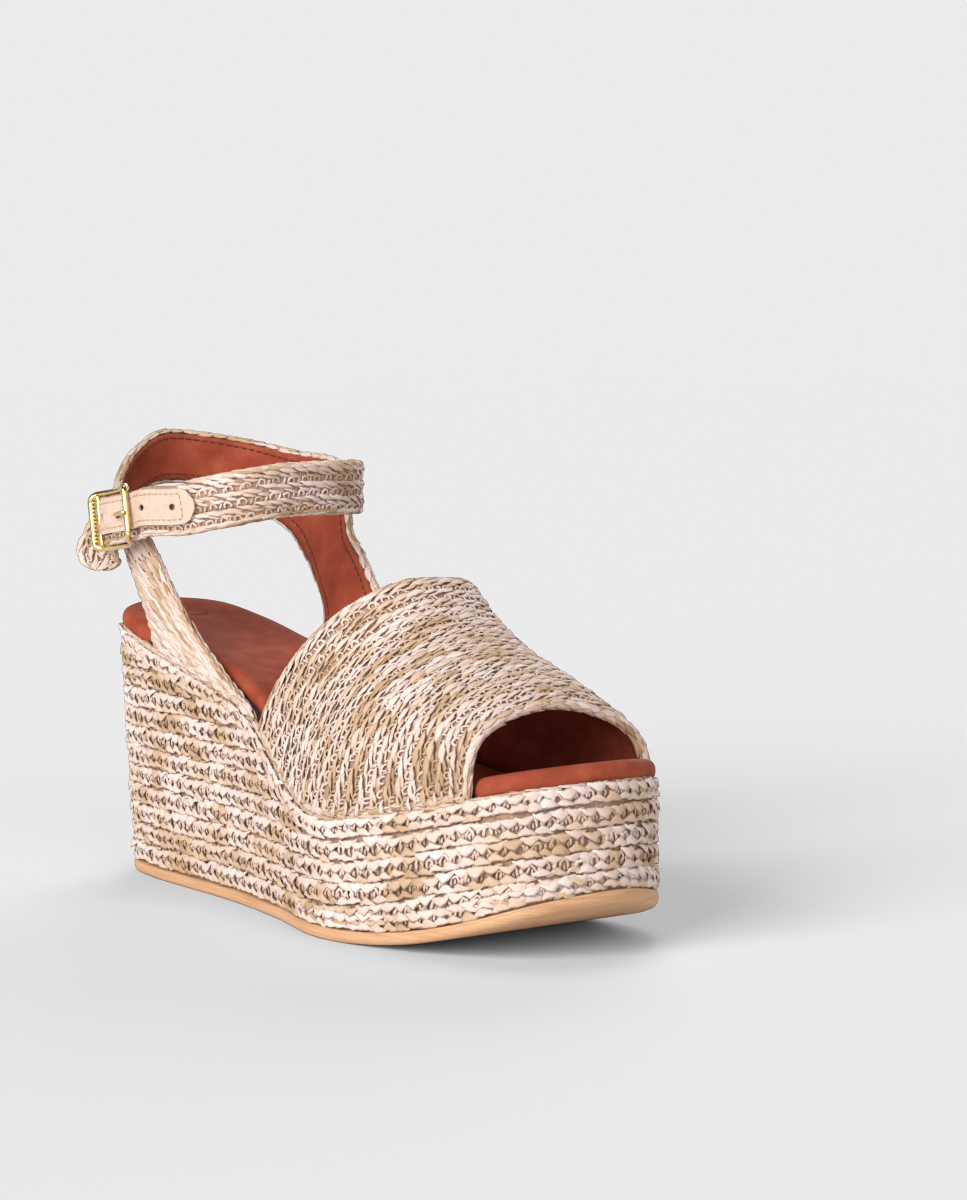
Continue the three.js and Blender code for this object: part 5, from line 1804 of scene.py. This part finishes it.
@dataclass
class HeelStrap:
    """Lining and knitted band round the heel."""

    shop: Workshop
    shape: HeelStrapShape = HeelStrapShape()
    rows: int = 4
    main_width: float = 20.0
    stitch_pitch: float = 5.0
    stitch_scale: float = 0.82
    cells: tuple[int, int] = (220, 14)
    ground_depths: tuple[float, float] = (1.75, 2.25)
    knit_depth: float = 2.15
    topstitch_inset: float = 0.1
    edge_radius: float = 1.25
    edge_angles: tuple[float, ...] = (0.1, 0.85, 1.6, 2.4)
    leaf: tuple[float, float] = (5.0, 1.7)

    def build(self) -> None:
        """Builds the lining, the ground, the stitches and the bound edges."""
        face = self.shape.at_depth
        lining = self.shop.plate("heel_strap_lining_leather", face, (0.0, LINING_THICK),
                                 self.cells, Finish.SUEDE, "sandal")
        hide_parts("heel_strap_lining")
        base = self.shop.plate("heel_strap_ground", face, self.ground_depths, self.cells,
                               Finish.GROUND, "sandal")
        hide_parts("heel_strap_raffia")
        self._knit()
        line = np.linspace(0.02, 0.98, 600)
        for name, w in (("heel_strap_upper_topstitch", self.topstitch_inset),
                        ("heel_strap_lower_topstitch", 1 - self.topstitch_inset)):
            stitched = thread(self.shop, name, inner_side(self.shape), line,
                              np.full(600, w), "sandal", Finish.THREAD, *LINING_STITCH)

    def _knit(self) -> None:
        """Rows of stitches along the strap, as many as its width has room for."""
        face = self.shape.at_depth
        yarn = Yarn(31)
        surface = face(self.knit_depth)
        ruler = np.linspace(0, 1, 400)
        wide = np.linalg.norm(surface(ruler, np.ones(400))[0]
                              - surface(ruler, np.zeros(400))[0], axis=1)
        share = np.minimum(wide, self.main_width) / self.rows / wide
        for row in range(int(wide.max() / (self.main_width / self.rows))):
            path = Track(surface(ruler, np.clip(share * (row + 0.5), 0, 1))[0])

            def measured(u: np.ndarray, v: np.ndarray,
                         at: np.ndarray = path.at) -> tuple[np.ndarray, np.ndarray]:
                """The knit's face with u as a length along the strap and v in rows."""
                s = np.interp(u, at, ruler)
                return surface(s, np.clip(v * np.interp(s, ruler, share), 0, 1))

            count = int(path.length / self.stitch_pitch)
            u = (np.arange(count) + (0.5 if row % 2 else 0.0)) * self.stitch_pitch
            reach = (row + 0.8) * np.interp(u + self.stitch_pitch / 2, path.at, share)
            u = u[(reach <= 1) & (u < path.length - self.stitch_pitch * 0.6)]
            tone = 0.56 + yarn.drift(len(u), 2, 0.17)
            yarn.stitches(measured, u, float(row), self.stitch_pitch, 1.0, UPPER_STITCH,
                          tone, self.stitch_scale)
        middle = face(1.75)
        s = np.linspace(0.0, 1.0, 700)
        for w, inner in ((0.0, 0.06), (1.0, 0.94)):
            point, out = middle(s, np.full(700, w))
            beyond = unit(point - middle(s, np.full(700, inner))[0])
            yarn.chain(point, out, beyond, self.edge_radius, self.edge_angles, *self.leaf)
        w = np.linspace(0, 1, 200)
        down = np.broadcast_to(np.array([0, 0, -1.0]), (200, 3))
        for s in (0.0, 1.0):
            point, out = face(1.9)(np.full(200, s), w)
            yarn.chain(point - down, out, down, FOOT_RADIUS, FOOT_ANGLES, *FOOT_LEAF)
        knit = yarn.piece(self.shop, "heel_strap_knit", "sandal")


@dataclass
class AnkleStrap:
    """Lining, knit, tape and the stitching on the perforated leather patch of the strap that
    buckles.
    """

    shop: Workshop
    shape: StrapShape
    rows: int = 3
    stitch_pitch: float = 4.6
    stitch_scale: float = 0.72
    cells: tuple[int, int] = (200, 8)
    ground_depths: tuple[float, float] = (1.75, 2.3)
    tape_depths: tuple[float, float] = (1.1, 1.45)
    knit_depth: float = 2.15
    edge_radius: float = 1.15
    edge_angles: tuple[float, ...] = (0.1, 0.85, 1.6, 2.4)
    leaf: tuple[float, float] = (4.6, 1.5)

    def build(self) -> None:
        """Builds the strap's layers, its knit and the lockstitches along the patch."""
        shape = self.shape
        lining = self.shop.plate("ankle_strap_lining_leather", shape.at_depth,
                                 (0.0, LINING_THICK), self.cells, Finish.SUEDE, BENDING)
        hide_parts("ankle_strap_lining")
        base = self.shop.plate("ankle_strap_ground", shape.at_depth, self.ground_depths,
                               self.cells, Finish.GROUND, BENDING)
        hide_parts("ankle_strap_raffia")
        self._knit()
        tape = self.shop.plate("ankle_strap_cotton_tape", shape.at_depth, self.tape_depths,
                               self.cells, Finish.CANVAS, BENDING)
        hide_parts("ankle_strap_tape")
        self._stitch_patch()

    def _knit(self) -> None:
        """Rows of stitches, left out where the patch covers them."""
        shape = self.shape
        yarn = Yarn(43)
        surface = shape.at_depth(self.knit_depth)

        def clipped(a: np.ndarray, b: np.ndarray) -> tuple[np.ndarray, np.ndarray]:
            """The knit's face, held inside its edges."""
            return surface(np.clip(a, 0, 1), np.clip(b, 0, 1))

        count = int(round(shape.track.length / self.stitch_pitch))
        under = (shape.patch_start + 3) / shape.track.length
        beyond_patch = (shape.bar_distance + 8) / shape.track.length
        for row in range(self.rows):
            u = (np.arange(count) + (0.4 if row % 2 else 0.0)) / count
            u = u[u < 0.985]
            hidden = (u > under) & (u < beyond_patch)
            tone = 0.62 + yarn.drift(len(u), 2, 0.17)
            keep = ~hidden | (row == 0)
            yarn.stitches(clipped, u[keep], row / self.rows, 1 / count, 1 / self.rows,
                          UPPER_STITCH, tone[keep], self.stitch_scale)
        s = np.linspace(0.0, 1.0, 500)
        middle = shape.at_depth(1.75)
        for w, inner, last in ((0.0, 0.1, 500), (1.0, 0.9, int(500 * under))):
            point, out = middle(s, np.full(500, w))
            edge = unit(point - middle(s, np.full(500, inner))[0])
            yarn.chain(point[:last], out[:last], edge[:last], self.edge_radius,
                       self.edge_angles, *self.leaf)
        knit = yarn.piece(self.shop, "ankle_strap_knit", BENDING)

    def _stitch_patch(self) -> None:
        """Lockstitches along the patch's edges."""
        shape = self.shape
        face = shape.at_depth(UPPER_THICK + 2 * GAP + BUCKLE.patch_thick, shape.patch_width,
                              shape.patch_lift, shape.patch_start, shape.bar_distance + 9.5,
                              5.0, 3.0)
        ways = [np.linspace(0.1, 0.93, 120), np.full(30, 0.1), np.linspace(0.1, 0.93, 120)]
        across = [np.full(120, 0.14), np.linspace(0.14, 0.86, 30), np.full(120, 0.86)]
        for number, (s, w) in enumerate(zip(ways, across), 1):
            line = thread(self.shop, f"patch_topstitch_{number}", face, s, w, "ankle_strap",
                          Finish.PALE_THREAD, *PATCH_STITCH)


@dataclass
class Buckle:
    """Gold frame with its centre bar, the prong, and the elastic that holds them."""

    shop: Workshop
    shape: BuckleShape = BUCKLE
    corner: float = 2.4
    rim_radius: float = 1.05
    plate_bar: tuple[float, float] = (3.6, 0.75)
    reeds: int = 13
    reed_radius: float = 0.5
    eye_radius: float = 0.45
    arm_radius: float = 0.72

    def build(self) -> None:
        """Builds the frame, the prong and the elastic."""
        self._frame()
        self._prong()
        self._elastic()

    def _frame(self) -> None:
        """Frame with rounded corners, centre bar and reeded plate."""
        b = self.shape
        half, high, out, bar = b.half_length, b.half_height, b.end_bar_out, b.bar_out
        corner = self.corner
        loop = []
        for t0, a0, start in ((-1, -1, 180), (1, -1, 270), (1, 1, 0), (-1, 1, 90)):
            for turn in np.radians(np.linspace(start, start + 90, 10)):
                loop.append(((half - corner) * t0 + corner * math.cos(turn),
                             (high - corner) * a0 + corner * math.sin(turn)))
        loop.append(loop[0])
        dense = Track(np.array(loop)).place(np.linspace(0, Track(np.array(loop)).length, 160))
        dip = (out - bar) * (1 - np.clip(np.abs(dense[:, 0]) / half, 0, 1) ** 1.6)
        ring = b.place(dense[:, 0], dense[:, 1], out - dip * smoothstep(
            np.abs(dense[:, 1]), high * 0.8, high))
        side = np.linspace(-high, high, 24)
        centre_bar = b.place(0, side, bar)
        back, bar_radius = self.plate_bar
        inner_bar = b.place(half - back, side * 0.93, out - 0.9)
        rods = [(ring, self.rim_radius), (centre_bar, b.bar_radius), (inner_bar, bar_radius)]
        frame = self.shop.tube("buckle_frame_gold", rods, Finish.GOLD, "buckle_frame")
        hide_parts("buckle_frame")
        reeds = []
        for share in np.linspace(-0.86, 0.86, self.reeds):
            t = np.linspace(half - 3.4, half + 0.5, 6)
            reeds.append((b.place(t, share * high, out - 0.25 - 0.06 * (t - half) ** 2),
                          self.reed_radius))
        plate = self.shop.tube("buckle_reeded_plate", reeds, Finish.GOLD, "buckle_frame", 10)

    def _prong(self) -> None:
        """Prong curled round the centre bar with its tip on the front bar."""
        b = self.shape
        eye = []
        radius = b.bar_radius + GAP + 0.35
        for turn in np.radians(np.linspace(200, -70, 20)):
            eye.append(b.place(-radius * math.cos(turn), 0,
                               b.bar_out + radius * math.sin(turn)))
        top = b.end_bar_out + b.bar_radius + GAP + b.prong_radius
        arm = catmull_rom(np.array([b.place(*p) for p in (
            (-1.2, 0, b.bar_out + 0.8), (-4.2, 0, b.bar_out + 2.9), (-7.4, 0, top - 0.2),
            (-10, 0, top), (-b.half_length - 1.4, 0, top - 0.15))]), 10, False)
        rods = [(np.array(eye), self.eye_radius), (arm, self.arm_radius)]
        prong = self.shop.tube("buckle_prong_gold", rods, Finish.GOLD, "buckle_prong")
        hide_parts("buckle_prong")

    def _elastic(self) -> None:
        """Ribbed elastic looped forwards round the centre bar."""
        b = self.shape
        wrap = b.bar_radius + GAP + b.elastic_thick / 2
        flap = [(t, b.bar_out - wrap - t * t / (2.4 * LOOP.half_y), 0.0, -1.0)
                for t in (9.5, 7, 4.5, 2)]
        bend = [(wrap * math.cos(k), b.bar_out + wrap * math.sin(k), math.cos(k), math.sin(k))
                for k in np.linspace(-math.pi / 2, -1.5 * math.pi, 20)]
        rows = np.array(flap + bend)
        across = np.linspace(-b.elastic_height / 2, b.elastic_height / 2, 12)
        skins = [b.place((rows[:, 0] + k * rows[:, 2])[None], across[:, None],
                         (rows[:, 1] + k * rows[:, 3])[None])
                 for k in (-b.elastic_thick / 2, b.elastic_thick / 2)]
        band = self.shop.closed("elastic_band", skins[0], skins[1], Finish.ELASTIC, "sandal")
        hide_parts("elastic_loop")


# ---- the studio


@dataclass(frozen=True)
class Studio:
    """Camera, lights and floor."""

    eye: tuple[float, float, float] = (-620.49, -869.14, 187.12)
    azimuth: float = -37.57
    elevation: float = 4.82
    lens: float = 101.77
    backdrop: str = "#ebebeb"
    ceiling: str = "#5a5a5a"
    softboxes: tuple = (
        ("key_softbox", (-2.1, -0.6, 1.1), 1.6, 72.0),
        ("front_softbox", (-0.5, -2.2, 1.0), 1.4, 10.0),
        ("top_softbox", (0.3, 0.3, 2.2), 0.8, 9.0),
        ("back_softbox", (1.9, 1.5, 1.2), 1.7, 26.0),
    )
    floor_half: float = 6.0
    aim_height: float = 0.06

    def build(self, shop: Workshop) -> None:
        """Places the camera, the lights and the floor.

        Args:
            shop: Holds the floor's material and the way to the scene's frame.
        """
        bpy.context.scene.view_settings.view_transform = "Standard"
        self._camera(shop.shift)
        self._world()
        for softbox in self.softboxes:
            self._light(*softbox)
        self._floor(shop)

    def _camera(self, shift: np.ndarray) -> None:
        """A camera with the view's place and lens.

        Args:
            shift: Way from the solid model's frame to the scene's, in millimetres.
        """
        data = bpy.data.cameras.new("view")
        data.lens = self.lens
        data.sensor_width = 36
        data.clip_end = 20
        camera = bpy.data.objects.new("view", data)
        bpy.context.scene.collection.objects.link(camera)
        a, e = math.radians(self.azimuth), math.radians(self.elevation)
        back = Vector((math.sin(a) * math.cos(e), -math.cos(a) * math.cos(e), math.sin(e)))
        right = Vector((0, 0, 1)).cross(back).normalized()
        up = back.cross(right)
        place = Vector((np.array(self.eye) + shift) * MM)
        camera.matrix_world = Matrix.Translation(place) @ Matrix((right, up, back)
                                                                 ).transposed().to_4x4()
        bpy.context.scene.camera = camera

    def _world(self) -> None:
        """An even pale backdrop under a darker ceiling, which gives the top faces some depth."""
        world = bpy.data.worlds.new("backdrop")
        world.use_nodes = True
        tree = world.node_tree
        place = add_node(tree, "ShaderNodeTexCoord", output="Generated")
        up = add_node(tree, "ShaderNodeSeparateXYZ", {"Vector": place}, "Z")
        shades = ((0.2, self.backdrop), (0.65, self.ceiling))
        sky = add_node(tree, "ShaderNodeValToRGB", {"Fac": up}, "Color", shades)
        fill(tree, tree.nodes["Background"], {"Color": sky})
        bpy.context.scene.world = world

    def _light(self, name: str, place: tuple[float, float, float], size: float,
               power: float) -> None:
        """A square soft light aimed at the sandal.

        Args:
            name: Name of the light.
            place: Its place in metres.
            size: Length of its side.
            power: Watts.
        """
        data = bpy.data.lights.new(name, "AREA")
        data.size = size
        data.energy = power
        lamp = bpy.data.objects.new(name, data)
        bpy.context.scene.collection.objects.link(lamp)
        lamp.location = place
        aim = Vector((0, 0, self.aim_height)) - Vector(place)
        lamp.rotation_euler = aim.to_track_quat("-Z", "Y").to_euler()

    def _floor(self, shop: Workshop) -> None:
        """A floor that only shows the shadow.

        Args:
            shop: Holds the floor's material.
        """
        data = bpy.data.meshes.new("studio_floor")
        half = self.floor_half
        data.from_pydata([(-half, -half, 0), (half, -half, 0), (half, half, 0), (-half, half, 0)],
                         [], [(0, 1, 2, 3)])
        data.materials.append(shop.materials[Finish.FLOOR])
        floor = bpy.data.objects.new("studio_floor", data)
        bpy.context.scene.collection.objects.link(floor)
        floor.is_shadow_catcher = True


# ---- the whole scene


INNER_FINISHES = {
    "wedge_core": Finish.CORK,
    "cover_backing": Finish.CANVAS,
    "insole_board": Finish.BOARD,
    "steel_shank": Finish.STEEL,
    "vamp_interlining": Finish.CANVAS,
    "heel_strap_tape": Finish.CANVAS,
    "strap_hole_patch": Finish.PATCH,
}


def finish_nodes(nodes: dict[str, bpy.types.Object],
                 materials: dict[Finish, bpy.types.Material]) -> None:
    """Gives the solids that stay their own materials.

    Args:
        nodes: Solids by name.
        materials: Materials by finish.
    """
    for name, node in nodes.items():
        finish = INNER_FINISHES.get(name)
        if name.startswith(("shank_rivet", "heel_nail")):
            finish = Finish.STEEL
        if finish is None:
            continue
        if node.material_slots:
            for slot in node.material_slots:
                slot.material = materials[finish]
        else:
            node.data.materials.append(materials[finish])


def main() -> None:
    """Builds the whole scene and reports each piece."""
    logging.basicConfig(level=logging.INFO)
    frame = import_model()
    materials = {dressing.finish: dressing.build() for dressing in DRESSINGS}
    shop = Workshop(materials, np.array(MODEL_TO_SCENE))
    Studio().build(shop)
    finish_nodes(frame["nodes"], materials)
    for part in (WedgeSole(shop), Vamp(shop), HeelStrap(shop), AnkleStrap(shop, StrapShape()),
                 Buckle(shop)):
        first = len(shop.made)
        part.build()
        for piece in shop.made[first:]:
            log.info("%s: %s, %d faces", type(part).__name__, piece.name,
                     len(piece.data.polygons))


if __name__ == "__main__":
    main()
